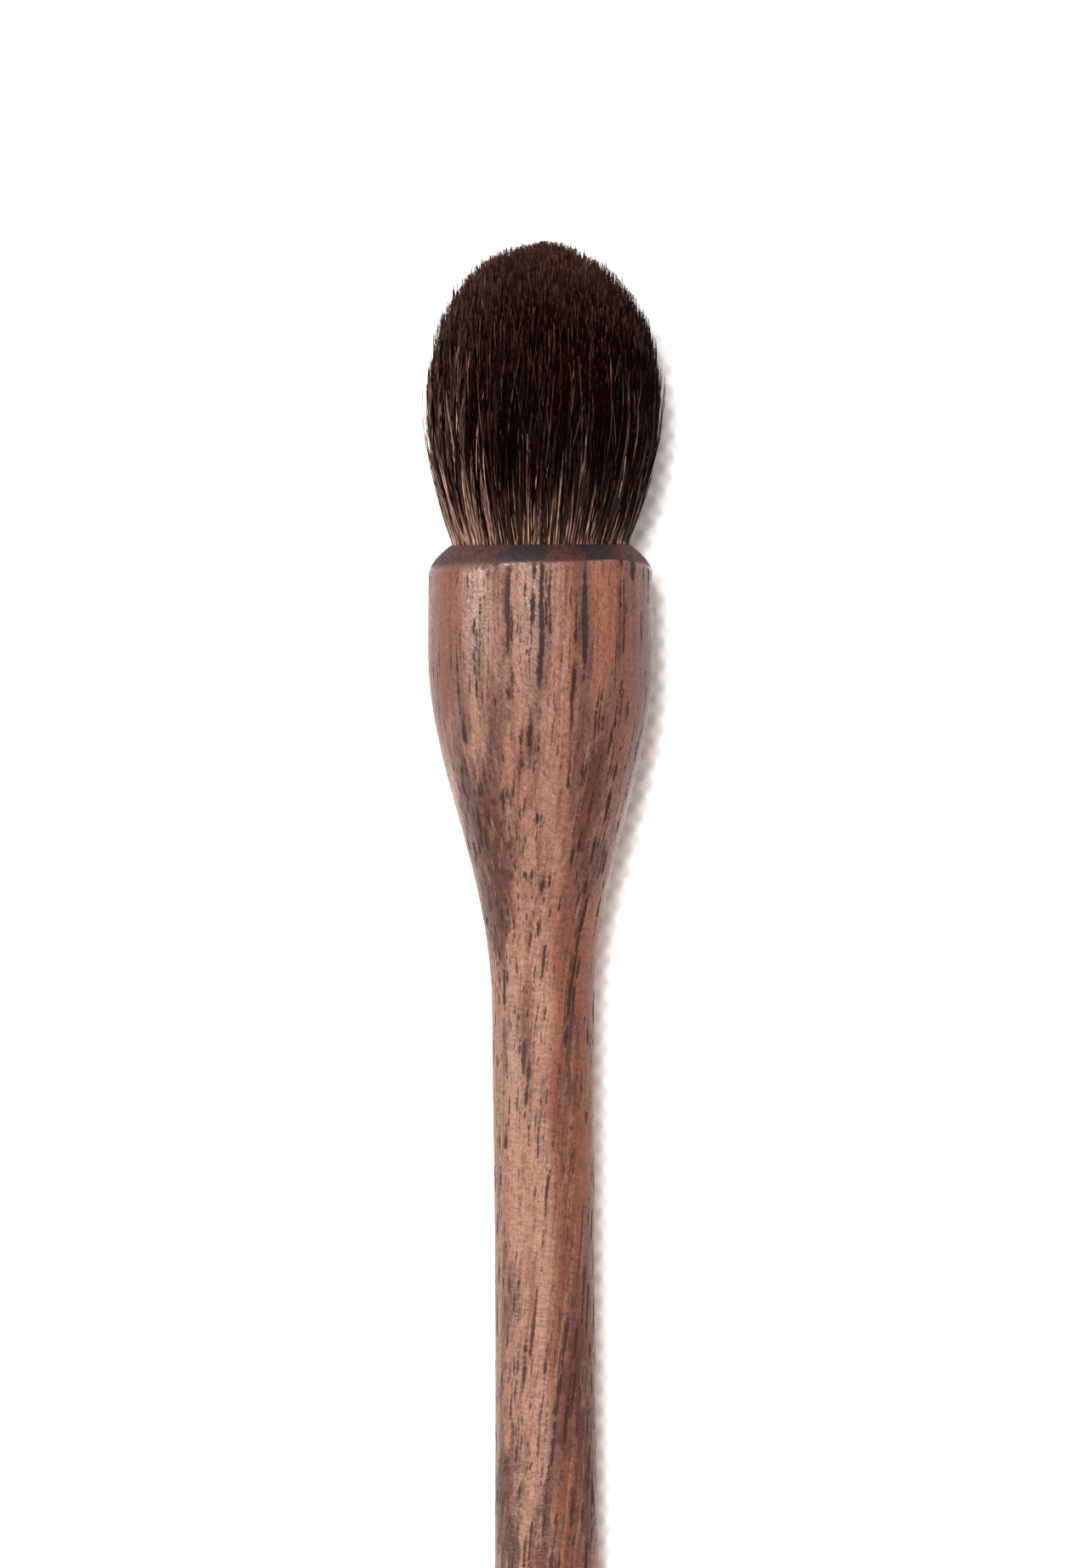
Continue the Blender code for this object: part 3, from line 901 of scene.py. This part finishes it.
    # End grain, where the cut crosses the fibres, with two burnt patches at the rim
    normal = sketch.node("ShaderNodeNewGeometry")["Normal"]
    facing = sketch.math("ABSOLUTE", sketch.vector("DOT_PRODUCT", normal, ALONG))
    cross_cut = facing.span(0.34, 0.6)
    speckle = wood_noise(sketch, "speckle", place)[0]
    burn = patches(sketch, loose_place, BURNT_PATCHES) + speckle.span(0.3, 0.7, -0.45, 0.45, smooth=False)
    ends = paint(burn.span(0.35, 0.65, 0.0, 0.92), size.end_grain, size.burnt)
    ends = sketch.shade(ends, speckle.span(0.35, 0.65, 0.3, 1.7))
    wood = paint(cross_cut * 0.97, wood, ends)

    # The rounded edges are polished by hands, and the end grain and the pores stay dull
    polish = facing.span(0.1, 0.3, 0.0, -0.1) + z.span(117.0, 123.0, 0.0, -0.08)
    dull = core.at_least(cross_cut) * 0.5
    relief = curl * 2.0 - core + fibre * 0.4 + grit * 0.4
    sketch.feed(shader, {
        "Base Color": wood,
        "Roughness": curl.span(0.3, 0.7, 0.32, 0.44) + (polish + dull),
        "Specular IOR Level": 0.2,
        "Normal": sketch.bump(relief, 0.02 * MM),
    })
    return made


# Other materials

COMMON_SHEEN = 0.012
PALE_BODY = 0.8
HAIR_SHADES = (0.35, 1.65)
HAIR_ROUGHNESS = (0.26, 0.5)
DEEP_RESIN = 0.55
DEEP_THREAD = 0.6

# Shares along a hair: where the painted sheen at the ends starts, where guard hairs and pale feet end at
# least, and the tip, painted lighter for light shining through it
END_SHEEN_START = 0.66
LEAST_GUARD_END = 0.45
LEAST_FOOT_END = 0.14
HAIR_TIP = (0.945, 0.99)


def hair_material(size, seed, pale_share=0.32, guard_from=0.9, sheen=COMMON_SHEEN, light_end=0.0):
    """Natural hair. Each column of the bake map is a tint, dark to pale, and its height is along the hair."""
    made, sketch, shader = new_material(f"natural_hair_{seed}")
    paint = sketch.paint
    columns = float(size.tint_columns)
    across, along, _ = sketch.parts(sketch.node("ShaderNodeUVMap", uv_map="OFBake")[0])
    column = sketch.math("FLOOR", across * columns)
    order = (column + 0.5) / columns
    inputs = {"Vector": sketch.combine(column, float(seed), 0.5)}
    luck = sketch.node("ShaderNodeTexWhiteNoise", inputs, noise_dimensions="3D")["Color"]
    paleness, reach, gloss = sketch.parts(luck)

    # The body of the hair, which is pale up to a place of its own in guard hairs
    # Brown hairs, and ends lightened as painted sheen on the dome
    brown_and_sheen_share = order.span(0.5, 0.9) + along.span(END_SHEEN_START, 1.0, 0.0, light_end)
    body = paint(brown_and_sheen_share.at_most(1.0), size.dark_hair, size.brown_hair)
    pale_end = reach * 0.6 + LEAST_GUARD_END
    paler = order.span(guard_from - 0.06, guard_from) * PALE_BODY
    body = paint(paler * (along - pale_end).span(-0.15, 0.1, 1.0, 0.1), body, size.guard_hair)

    # Its pale foot, and its tip painted lighter for the light that shines through the thin end
    root_end = gloss * 0.4 + LEAST_FOOT_END
    foot = (along / root_end).span(0.25, 1.0, 1.0, 0.0)
    foot = foot * paleness.span(0.95 - pale_share, 1.05 - pale_share, 0.06, 0.95)
    body = paint(foot, body, size.pale_root)
    body = paint(along.span(*HAIR_TIP) * sketch.mix(gloss, 0.05, 0.75), body, size.tip_light_through)
    places = sketch.combine(column * 7.3, along * 9.0, 0.0)
    sketch.feed(shader, {
        "Base Color": sketch.shade(body, sketch.noise(places)[0].span(0.3, 0.7, *HAIR_SHADES)),
        "Roughness": gloss.span(0.0, 1.0, *HAIR_ROUGHNESS, smooth=False),
        "Specular IOR Level": sheen,
    })
    return made


def glued_hair_material(size):
    """Hair ends in dark glue."""
    made, sketch, shader = new_material("glued_hair_ends")
    place = brush_millimetres(sketch)
    inputs = {"Vector": place * (9.0, 9.0, 1.0), "Scale": 1.0}
    end = sketch.node("ShaderNodeTexVoronoi", inputs)["Distance"].span(0.25, 0.45)
    sketch.feed(shader, {
        "Base Color": sketch.paint(end, size.dark_hair, size.brown_hair),
        "Roughness": end.span(0.0, 1.0, 0.55, 0.3),
        "Normal": sketch.bump(end, 0.03 * MM, 0.6),
    })
    return made


def cast_material(name, tint, rough, cloud_scale):
    """A cast clear material, such as resin or glue, with faint clouds and a slightly uneven skin."""
    made, sketch, shader = new_material(name)
    place = brush_millimetres(sketch)
    clouds = sketch.noise(place, scale=cloud_scale, detail=3.0, roughness=0.55)[0]
    deep = tuple(value * DEEP_RESIN for value in tint)
    skin = sketch.noise(place, scale=cloud_scale * 2.5)[0]
    sketch.feed(shader, {
        "Base Color": sketch.paint(clouds.span(0.3, 0.7), deep, tint),
        "Roughness": clouds.span(0.3, 0.7, rough, rough + 0.15),
        "Normal": sketch.bump(skin, 0.05 * MM, 0.4),
    })
    return made


def thread_material(size):
    """Waxed thread, with wax between its fibres."""
    made, sketch, shader = new_material("waxed_linen")
    fibre = sketch.noise(brush_millimetres(sketch), scale=9.0, detail=3.0, roughness=0.7)[0]
    deep = tuple(value * DEEP_THREAD for value in size.thread)
    sketch.feed(shader, {
        "Base Color": sketch.paint(fibre.span(0.3, 0.7), deep, size.thread),
        "Roughness": fibre.span(0.3, 0.7, 0.45, 0.7),
        "Normal": sketch.bump(fibre, 0.03 * MM, 0.5),
    })
    return made


# Hair and thread

# Lengths of the hair's tree that the settings hold under the same names
HAIR_LENGTHS = (
    "Root radius", "Root depth", "Hair length", "Dome height", "Flare", "Widest height", "Lean",
    "Thickness", "Uneven ends", "Notch", "Mixing", "Weaving", "Lock spread", "Lock size", "Stray",
    "Sweep", "Crossing",
)
HAIR_INPUTS = (
    ("Count", "Int", 100),
    ("Seed", "Int", 1),
    ("Inner share", "Float", 0.0),
    ("Outer share", "Float", 1.0),
    ("Shortest", "Float", 1.0),
    ("Stray rarity", "Float", 3.0),
    ("Outward", "Float", 0.0),
    ("Steps", "Int", 9),
    ("Sides", "Int", 3),
    ("Tint columns", "Int", 32),
    ("Rim height", "Float", 0.0),
    ("Butt height", "Float", 0.0),
    ("Table up", "Vector", (0.0, -1.0, 0.0)),
    ("Material", "Material", None),
    *((title, "Float", 0.0) for title in HAIR_LENGTHS),
)

# Layers of hair: name, inner and outer share of the root, points along a hair, and how much its end is
# lightened as painted sheen on the dome
HAIR_LAYERS = (
    ("hair_core", 0.0, 0.45, 8, 0.3),
    ("hair_inner", 0.45, 0.64, 8, 0.22),
    ("hair_middle", 0.64, 0.78, 9, 0.08),
    ("hair_outer", 0.78, 0.90, 10, 0.0),
    ("hair_skin", 0.90, 1.0, 11, 0.0),
)
GUARD_SEED = 8
GUARD_HAIR = {"Inner share": 0.9, "Steps": 12, "Shortest": 0.25, "Stray rarity": 1.5}
GUARD_LOOKS = {"pale_share": 0.6, "guard_from": 0.5, "sheen": 0.3}
GUARD_SWEEP = 1.6
GUARD_THINNESS = 0.85
LOOSE_SEED = 9
LOOSE_HAIR = {
    "Inner share": 0.985,
    "Mixing": 0.0,
    "Steps": 12,
    "Shortest": 0.45,
    "Stray rarity": 1.5,
    "Outward": 0.5 * MM,
}
LOOSE_THINNESS = 0.75

# A sunflower turns by this much from one seed to the next
GOLDEN_TURN = math.pi * (3 - math.sqrt(5))
FIRST_DRAW = 100
DRAWS_PER_SEED = 211.0

# Ranges that each hair draws a number of its own from
SPACING = (0.1, 0.9)
ROOT_SHIFT = (-0.02, 0.02)
OUTERMOST = (0.98, 1.0)
WEAVE_TURNS = (6.0, 16.0)
SWEEP_BENDS = (0.7, 1.6)
STRAY_BENDS = (1.0, 2.2)
RIPPLE_TURNS = (4.0, 9.0)

# Powers that make a large draw rare
SHORT_END_RARITY = 4.0
COARSE_RARITY = 3.0

# The shape of the tuft and of each hair
COLUMN_MARGIN = 0.18
EARLY_SPREAD = 0.85
CROSSING_SHARE = 0.25
DOME_POINT = 1.8
LEFT_DOME_POINT = 2.3
LEAST_STRAY = 0.05 * MM
FINE_WAVE = 0.2 * MM
LEAST_GIRTH = 0.65
COARSE_GIRTH = 1.1
THIN_END = 0.35
TABLE_GAP = 1.8
TINT_CLUMPS = 1.6


def hair_tree():
    """Hair that stands in a disc, flares, ends on a dome, and lies on the table below."""
    sketch, given, output = new_tree("standing_hair", HAIR_INPUTS)
    lines, hair = sketch.lines(given["Count"], given["Steps"])
    lines, along = sketch.keep(lines, "Along", sketch.share_along())
    draws = iter(range(FIRST_DRAW, 2 * FIRST_DRAW))

    def luck(low=0.0, high=1.0):
        """A random number for each hair."""
        seed = given["Seed"] * DRAWS_PER_SEED + float(next(draws))
        return sketch.node("FunctionNodeRandomValue", {"Min": low, "Max": high, "ID": hair, "Seed": seed})[1]

    def either_way():
        """A random number for each hair from -1 to 1, mostly near 0."""
        return luck() + luck() - 1.0

    # Where the hair stands: a sunflower's spacing, so that the disc is full, and loosened a little
    inner = given["Inner share"] * given["Inner share"]
    outer = given["Outer share"] * given["Outer share"]
    part = (hair + luck(*SPACING)) / given["Count"]
    root_share = sketch.math("SQRT", sketch.mix(part, inner, outer))
    root_angle = hair * GOLDEN_TURN + luck(*ROOT_SHIFT)
    root = sketch.heading(root_angle) * (root_share * given["Root radius"])

    # Where its tip comes out: it works its way in or out, but not past the outside
    tip_share = root_share + given["Mixing"] * either_way()
    tip_share = tip_share.at_most(luck(*OUTERMOST)).at_least(0.0)

    # How long it is: up to the dome, with uneven single ends and some shorter locks
    root_side = sketch.parts(root)[0] / given["Root radius"]
    dome_point = root_side.span(-0.8, 0.0, LEFT_DOME_POINT, DOME_POINT)
    below_one = sketch.math("SUBTRACT", 1.0, tip_share ** dome_point, clamp=True)
    dome = given["Dome height"] * sketch.math("SQRT", below_one)
    short = given["Uneven ends"] * luck() ** SHORT_END_RARITY
    root_locks = root * sketch.math("DIVIDE", 1.0, given["Lock size"])
    notches = sketch.noise(root_locks + (7.0, 3.0, 0.0), detail=1.0)[0]
    notch = given["Notch"] * notches.span(0.5, 0.72)
    tip = given["Hair length"] - given["Dome height"] + dome - (short + notch)
    whole = (tip + given["Root depth"]) * luck(given["Shortest"], 1.0)
    height = whole * along - given["Root depth"]
    over_rim = height.at_least(0.0)
    tall = over_rim / given["Hair length"]

    # How it spreads, weaves, leans and is swept round
    rising = sketch.math("DIVIDE", over_rim, given["Widest height"], clamp=True) ** EARLY_SPREAD
    reach = given["Root radius"] + given["Flare"] * (rising * (TURN / 4)).sine()
    now_share = sketch.mix(tall ** 1.2, root_share, tip_share)
    weave = (tall * luck(*WEAVE_TURNS) + luck(0.0, TURN)).sine() - 1.0
    weave = weave * (luck(0.0, given["Weaving"]) * tall)
    now_share = (now_share + weave).at_least(0.0)
    is_crossing = sketch.math("LESS_THAN", luck(), CROSSING_SHARE)
    swept = given["Sweep"] + given["Crossing"] * is_crossing
    swept = swept * either_way() * tall ** luck(*SWEEP_BENDS)
    angle = root_angle + swept / (reach + given["Flare"])
    outward = given["Outward"] * tall.span(0.05, 0.6)
    leaning = given["Lean"] * (tall * (TURN / 4)).sine()
    place = sketch.heading(angle) * (now_share * reach + outward)
    place = place + sketch.combine(leaning, 0.0, height + given["Rim height"])

    # Locks, single strays and a slight wave
    lock_place = root_locks + sketch.combine(0.0, 0.0, tall * 0.9)
    lock = sketch.noise(lock_place, detail=1.0)[1] - HALF
    lock = lock * (given["Lock spread"] * tall.span(0.0, 0.6, 0.0, 2.0))
    stray_angle = luck(0.0, TURN)
    stray_size = luck() ** given["Stray rarity"] * given["Stray"] + LEAST_STRAY
    stray = sketch.heading(stray_angle) * (stray_size * tall ** luck(*STRAY_BENDS))
    wave_phase = tall * luck(*RIPPLE_TURNS) + luck(0.0, TURN)
    across_stray = sketch.combine(stray_angle.sine(), stray_angle.cosine(), 0.0)
    place = place + lock + stray + across_stray * (wave_phase.sine() * (tall * FINE_WAVE))

    # The table holds up the hair that would hang through it
    over_table = sketch.vector("DOT_PRODUCT", place, given["Table up"]) + given["Butt height"]
    lift = (given["Thickness"] * TABLE_GAP - over_table).at_least(0.0)
    stood = sketch.moved(lines, place + given["Table up"] * lift)

    # Each hair as a fine tube with a thin end
    sides = given["Sides"]
    ring, around = sketch.keep(sketch.ring(sides), "Around", sketch.share_along())
    coarseness = luck() ** COARSE_RARITY
    girth = coarseness * COARSE_GIRTH + LEAST_GIRTH
    radius = given["Thickness"] * girth * along.span(0.88, 1.0, 1.0, THIN_END)
    tubes = sketch.tubes(stood, ring, radius)

    # Its column on the bake map, which is its tint
    around = around * (sides / (sides - 1.0))
    clump = sketch.noise(root * sketch.math("DIVIDE", TINT_CLUMPS, given["Lock size"]), detail=1.0)[0]
    paleness = luck() * 0.72 + coarseness * 0.2 + clump.span(0.35, 0.65, -0.22, 0.18)
    # Hairs on the left side, towards the lamps, take paler tints and those on the right darker ones: painted
    # light and painted shade
    paleness = (paleness + root_side.span(-0.85, -0.15, 0.36, -0.12)).at_least(0.0).at_most(0.9999)
    column = sketch.math("FLOOR", paleness * given["Tint columns"])
    inset = sketch.mix(around, COLUMN_MARGIN, 1 - COLUMN_MARGIN)
    mapped = sketch.mapped(tubes, (column + inset) / given["Tint columns"], sketch.mix(along, 0.02, 0.98))
    return end_tree(sketch, mapped, given["Material"], output)


THREAD_INPUTS = (
    ("Turns", "Float", 5.0),
    ("Pitch", "Float", 0.0),
    ("Coil radius", "Float", 0.0),
    ("Coil bottom", "Float", 0.0),
    ("Thread radius", "Float", 0.0),
    ("Plies", "Int", 2),
    ("Twists", "Float", 98.0),
    ("Steps", "Int", 900),
    ("Sides", "Int", 6),
    ("Material", "Material", None),
)


def thread_tree():
    """A thread of twisted plies wound in a coil."""
    sketch, given, output = new_tree("plied_thread", THREAD_INPUTS)
    lines, ply = sketch.lines(given["Plies"], given["Steps"])
    along = sketch.share_along()
    turned = along * given["Turns"]
    ply_radius = given["Thread radius"] * 0.5
    phase = (along * given["Twists"] + ply / given["Plies"]) * TURN
    upward = turned * given["Pitch"] + given["Coil bottom"] + phase.sine() * ply_radius
    place = sketch.heading(turned * TURN) * (given["Coil radius"] + phase.cosine() * ply_radius)
    wound = sketch.moved(lines, place + sketch.combine(0.0, 0.0, upward))
    tubes = sketch.tubes(wound, sketch.ring(given["Sides"]), ply_radius)
    return end_tree(sketch, tubes, given["Material"], output)


# Operators

# Boxes of the bake map, as left, right, low and high: stem, head and socket, and the hair's foot
HANDLE_BOXES = ((0.66, 0.99, 0.01, 0.86), (0.01, 0.64, 0.01, 0.99), (0.66, 0.99, 0.88, 0.99))
FOOT_BOXES = ((0.01, 0.99, 0.01, 0.99),)
FOOT_LIP = 0.2 * MM
FOOT_SIDES = 64

# Lamps: where each hangs, where it points and its width. The windows also have a share of the power
KEY_LAMP = ((-0.06, 0.13, 0.58), (0.0, 0.03, 0.0), 0.11)
WINDOW_TARGET = (0.0, 0.05, 0.0)
WINDOW_WIDTH = 0.2
WINDOWS = (
    ("window_lamp", (-0.55, 0.16, 0.22), 1.0),
    ("far_window_lamp", (-0.30, 0.50, 0.36), 1.6),
)
FUZZ_SCALE = 1500.0
CLIP_START = 0.05
CLIP_END = 10.0


class MAKEUP_BRUSH_OT_turn_handle(bpy.types.Operator):
    """Turn the walnut handle, with its bored head and sanded rim"""

    bl_idname = "makeup_brush.turn_handle"
    bl_label = "Turn the Handle"

    def execute(self, context):
        size = context.scene.brush_handle
        shoulder_height = size.handle_length - size.rim_height

        def sway_of(radius, height):
            """How much of the edge's sway a point takes: all at the shoulder, none at the rim."""
            if radius < size.rim_radius + STILL_RIM or height < shoulder_height - SWAY_FADE:
                return 0.0
            if height < shoulder_height:
                return wave((height - shoulder_height + SWAY_FADE) / SWAY_FADE)
            return 1.0 - (height - shoulder_height) / size.rim_height

        points = mapped_outline(handle_outline(size), HANDLE_BOXES, sway_of)
        values = {
            "Sides": size.sides,
            "Edge sway": size.edge_sway,
            "Sway seed": SWAY_SEED,
            "Material": walnut_material(size),
        }
        handle = grown("walnut_handle", turning_tree(), values, outline_mesh("handle_outline", points))
        handle.data.set_sharp_from_angle(angle=SHARP_ANGLE)
        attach(handle, BODY)
        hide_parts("handle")
        return {"FINISHED"}


class MAKEUP_BRUSH_OT_pot_root(bpy.types.Operator):
    """Pot and tie the hidden root of the hair"""

    bl_idname = "makeup_brush.pot_root"
    bl_label = "Pot the Root"

    def execute(self, context):
        size = context.scene.brush_root
        coil_length = size.coil_turns * TURN * size.coil_radius
        values = {
            "Turns": float(size.coil_turns),
            "Pitch": size.coil_pitch,
            "Coil radius": size.coil_radius,
            "Coil bottom": size.coil_bottom,
            "Thread radius": size.thread_radius,
            "Twists": float(round(coil_length / size.ply_twist)),
            "Material": thread_material(size),
        }
        thread = grown("root_thread", thread_tree(), values)
        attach(thread, BODY)
        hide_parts("root_binding")
        finishes = {
            "root_plug": (cast_material("amber_resin", size.resin, 0.18, 0.6), "root_resin"),
            "socket_glue": (cast_material("cured_glue", size.glue, 0.25, 0.9), "cured_glue"),
        }
        for node, (finish, slot) in finishes.items():
            solid = frame["nodes"][node]
            for place in solid.material_slots:
                place.material = finish
        return {"FINISHED"}


class MAKEUP_BRUSH_OT_set_hair(bpy.types.Operator):
    """Set the hair in the socket, layer by layer, and its loose hairs"""

    bl_idname = "makeup_brush.set_hair"
    bl_label = "Set the Hair"

    def execute(self, context):
        size = context.scene.brush_hair
        rim_height = context.scene.brush_handle.handle_length
        tree = hair_tree()
        shared = {title: getattr(size, title.lower().replace(" ", "_")) for title in HAIR_LENGTHS}
        shared["Rim height"] = rim_height
        shared["Tint columns"] = size.tint_columns
        shared["Table up"] = UP_FROM_TABLE
        shared["Butt height"] = BUTT_PLACE.z

        def grow(name, seed, changes, **looks):
            """One kind of hair, in its own material."""
            finish = hair_material(size, seed, **looks)
            self.seat(grown(name, tree, {**shared, "Seed": seed, "Material": finish, **changes}))

        for seed, (name, inner, outer, steps, light_end) in enumerate(HAIR_LAYERS, start=1):
            changes = {
                "Count": round(size.hairs * (outer ** 2 - inner ** 2)),
                "Inner share": inner,
                "Outer share": outer,
                "Steps": steps,
            }
            grow(name, seed, changes, light_end=light_end)
        swept = {"Sweep": GUARD_SWEEP * size.sweep, "Thickness": size.thickness * GUARD_THINNESS}
        changes = {"Count": size.guard_hairs, **GUARD_HAIR, **swept}
        grow("hair_guard", GUARD_SEED, changes, **GUARD_LOOKS)
        changes = {"Count": size.flyaways, "Thickness": size.thickness * LOOSE_THINNESS, **LOOSE_HAIR}
        grow("hair_loose", LOOSE_SEED, changes)

        top = rim_height - size.slice_recess
        bottom = rim_height - size.slice_depth
        radius = size.root_radius
        side = [(radius, bottom), (radius, top + FOOT_LIP), (radius - FOOT_LIP, top)]
        points = mapped_outline([[(0.0, bottom), *side, (0.0, top)]], FOOT_BOXES)
        values = {"Sides": FOOT_SIDES, "Material": glued_hair_material(size)}
        foot = grown("hair_foot", turning_tree(), values, outline_mesh("foot_outline", points))
        foot.data.set_sharp_from_angle(angle=SHARP_ANGLE)
        self.seat(foot)
        return {"FINISHED"}

    def seat(self, piece):
        """Attaches a piece of the tuft to the brush's body and hides the packed tuft."""
        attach(piece, BODY)
        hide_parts("hair_tuft")


class MAKEUP_BRUSH_OT_lay_stage(bpy.types.Operator):
    """Lay the white cloth, hang the lights and place the camera"""

    bl_idname = "makeup_brush.lay_stage"
    bl_label = "Lay the Stage"

    def execute(self, context):
        size = context.scene.brush_stage
        self.lay_cloth(size)
        self.light_room(context.scene, size)
        self.place_camera(context.scene, size)
        context.scene.view_settings.view_transform = "Standard"
        return {"FINISHED"}

    def seen(self, sketch):
        """1 for what a viewer sees, straight, in a glint or through glass, and 0 for light that falls."""
        ray = sketch.node("ShaderNodeLightPath")
        return ray["Is Camera Ray"].at_least(ray["Is Glossy Ray"]).at_least(ray["Is Transmission Ray"])

    def lay_cloth(self, size):
        """A white woven cloth, with painted shade in the hollows of its weave. The camera sees it brighter
        than it is, and it keeps the shadow.
        """
        low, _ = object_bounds()
        half = size.cloth_size / 2
        mesh = bpy.data.meshes.new("white_cloth")
        corners = [(-half, -half, low.z), (half, -half, low.z), (half, half, low.z), (-half, half, low.z)]
        mesh.from_pydata(corners, [], [(0, 1, 2, 3)])
        cloth = placed(mesh)
        made, sketch, shader = new_material("white_cotton")
        place = sketch.node("ShaderNodeTexCoord")["Object"]
        x, y, _ = sketch.parts(place)
        turns = TURN / size.weave_pitch
        fuzz = sketch.noise(place, scale=FUZZ_SCALE, detail=3.0)[0]
        height = (x * turns).sine() * (y * turns).sine() + fuzz
        # The weave's hollows are painted darker as painted shade, and the camera sees the cloth brighter
        weave_shade_and_gain = height.span(-0.6, 1.4, 0.8, 1.0) * sketch.mix(self.seen(sketch), 1.0, size.cloth_gain)
        sketch.feed(shader, {
            "Base Color": sketch.shade(size.cloth, weave_shade_and_gain),
            "Roughness": 0.95,
            "Specular IOR Level": 0.1,
            "Normal": sketch.bump(height, size.weave_depth),
        })
        mesh.materials.append(made)
        cloth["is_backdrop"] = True

    def light_room(self, scene, size):
        """An even room, a lamp overhead and two windows to the left, which only glint."""
        world = bpy.data.worlds.new("white_room")
        world.use_nodes = True
        scene.world = world
        sketch = Sketch(world.node_tree)
        seen = self.seen(sketch)
        sketch.feed(world.node_tree.nodes["Background"], {
            "Color": sketch.paint(seen, size.room, (1.0, 1.0, 1.0)),
            "Strength": sketch.mix(seen, size.world_light, 1.0),
        })
        self.hang_lamp("key_lamp", *KEY_LAMP, size.key_light)
        for name, place, power_share in WINDOWS:
            power = size.window_light * power_share
            window = self.hang_lamp(name, place, WINDOW_TARGET, WINDOW_WIDTH, power)
            window.visible_diffuse = False

    def hang_lamp(self, name, place, target, width, power):
        """A soft square lamp that points at a place."""
        lamp = bpy.data.lights.new(name, "AREA")
        lamp.shape = "RECTANGLE"
        lamp.size = width
        lamp.size_y = width
        lamp.energy = power
        hung = placed(lamp)
        hung.location = place
        hung.rotation_euler = (Vector(target) - Vector(place)).to_track_quat("-Z", "Y").to_euler()
        return hung

    def place_camera(self, scene, size):
        """Almost straight down, a little from the tail's side."""
        camera = bpy.data.cameras.new("camera")
        camera.lens = camera.sensor_width * size.view_distance / size.view_width
        camera.clip_start = CLIP_START
        camera.clip_end = CLIP_END
        held = placed(camera)
        target = BUTT_PLACE + ALONG * size.centre_height + Vector((size.view_side, 0.0, 0.0))
        back = Vector((0.0, -math.cos(size.view_elevation), math.sin(size.view_elevation)))
        look = (-back).to_track_quat("-Z", "Y").to_matrix().to_4x4()
        stand = Matrix.Translation(target + back * size.view_distance)
        held.matrix_world = stand @ look @ Matrix.Rotation(-size.view_roll, 4, "Z")
        scene.camera = held


class VIEW3D_PT_makeup_brush(bpy.types.Panel):
    """Sizes and colours of the brush, and the steps that build it"""

    bl_label = "Makeup Brush"
    bl_idname = "VIEW3D_PT_makeup_brush"
    bl_space_type = "VIEW_3D"
    bl_region_type = "UI"
    bl_category = "Makeup Brush"

    def draw(self, context):
        for title, settings, step in STEPS:
            box = self.layout.box()
            box.label(text=title)
            group = getattr(context.scene, settings)
            for name in group.bl_rna.properties.keys():
                if name not in ("rna_type", "name"):
                    box.prop(group, name)
            box.operator(step)


STEPS = (
    ("Handle", "brush_handle", "makeup_brush.turn_handle"),
    ("Root", "brush_root", "makeup_brush.pot_root"),
    ("Hair", "brush_hair", "makeup_brush.set_hair"),
    ("Stage", "brush_stage", "makeup_brush.lay_stage"),
)
GROUPS = {
    "brush_handle": HandleSettings,
    "brush_root": RootSettings,
    "brush_hair": HairSettings,
    "brush_stage": StageSettings,
}
CLASSES = (
    *GROUPS.values(),
    MAKEUP_BRUSH_OT_turn_handle,
    MAKEUP_BRUSH_OT_pot_root,
    MAKEUP_BRUSH_OT_set_hair,
    MAKEUP_BRUSH_OT_lay_stage,
    VIEW3D_PT_makeup_brush,
)


def register():
    """Makes the settings, operators and panel known."""
    for made in CLASSES:
        bpy.utils.register_class(made)
    for name, group in GROUPS.items():
        setattr(bpy.types.Scene, name, bpy.props.PointerProperty(type=group))


def unregister():
    """Takes them away again."""
    for name in GROUPS:
        delattr(bpy.types.Scene, name)
    for made in reversed(CLASSES):
        bpy.utils.unregister_class(made)


def main():
    """Builds the brush and its stage, step by step."""
    register()
    bpy.ops.makeup_brush.turn_handle()
    bpy.ops.makeup_brush.pot_root()
    bpy.ops.makeup_brush.set_hair()
    bpy.ops.makeup_brush.lay_stage()


if __name__ == "__main__":
    main()
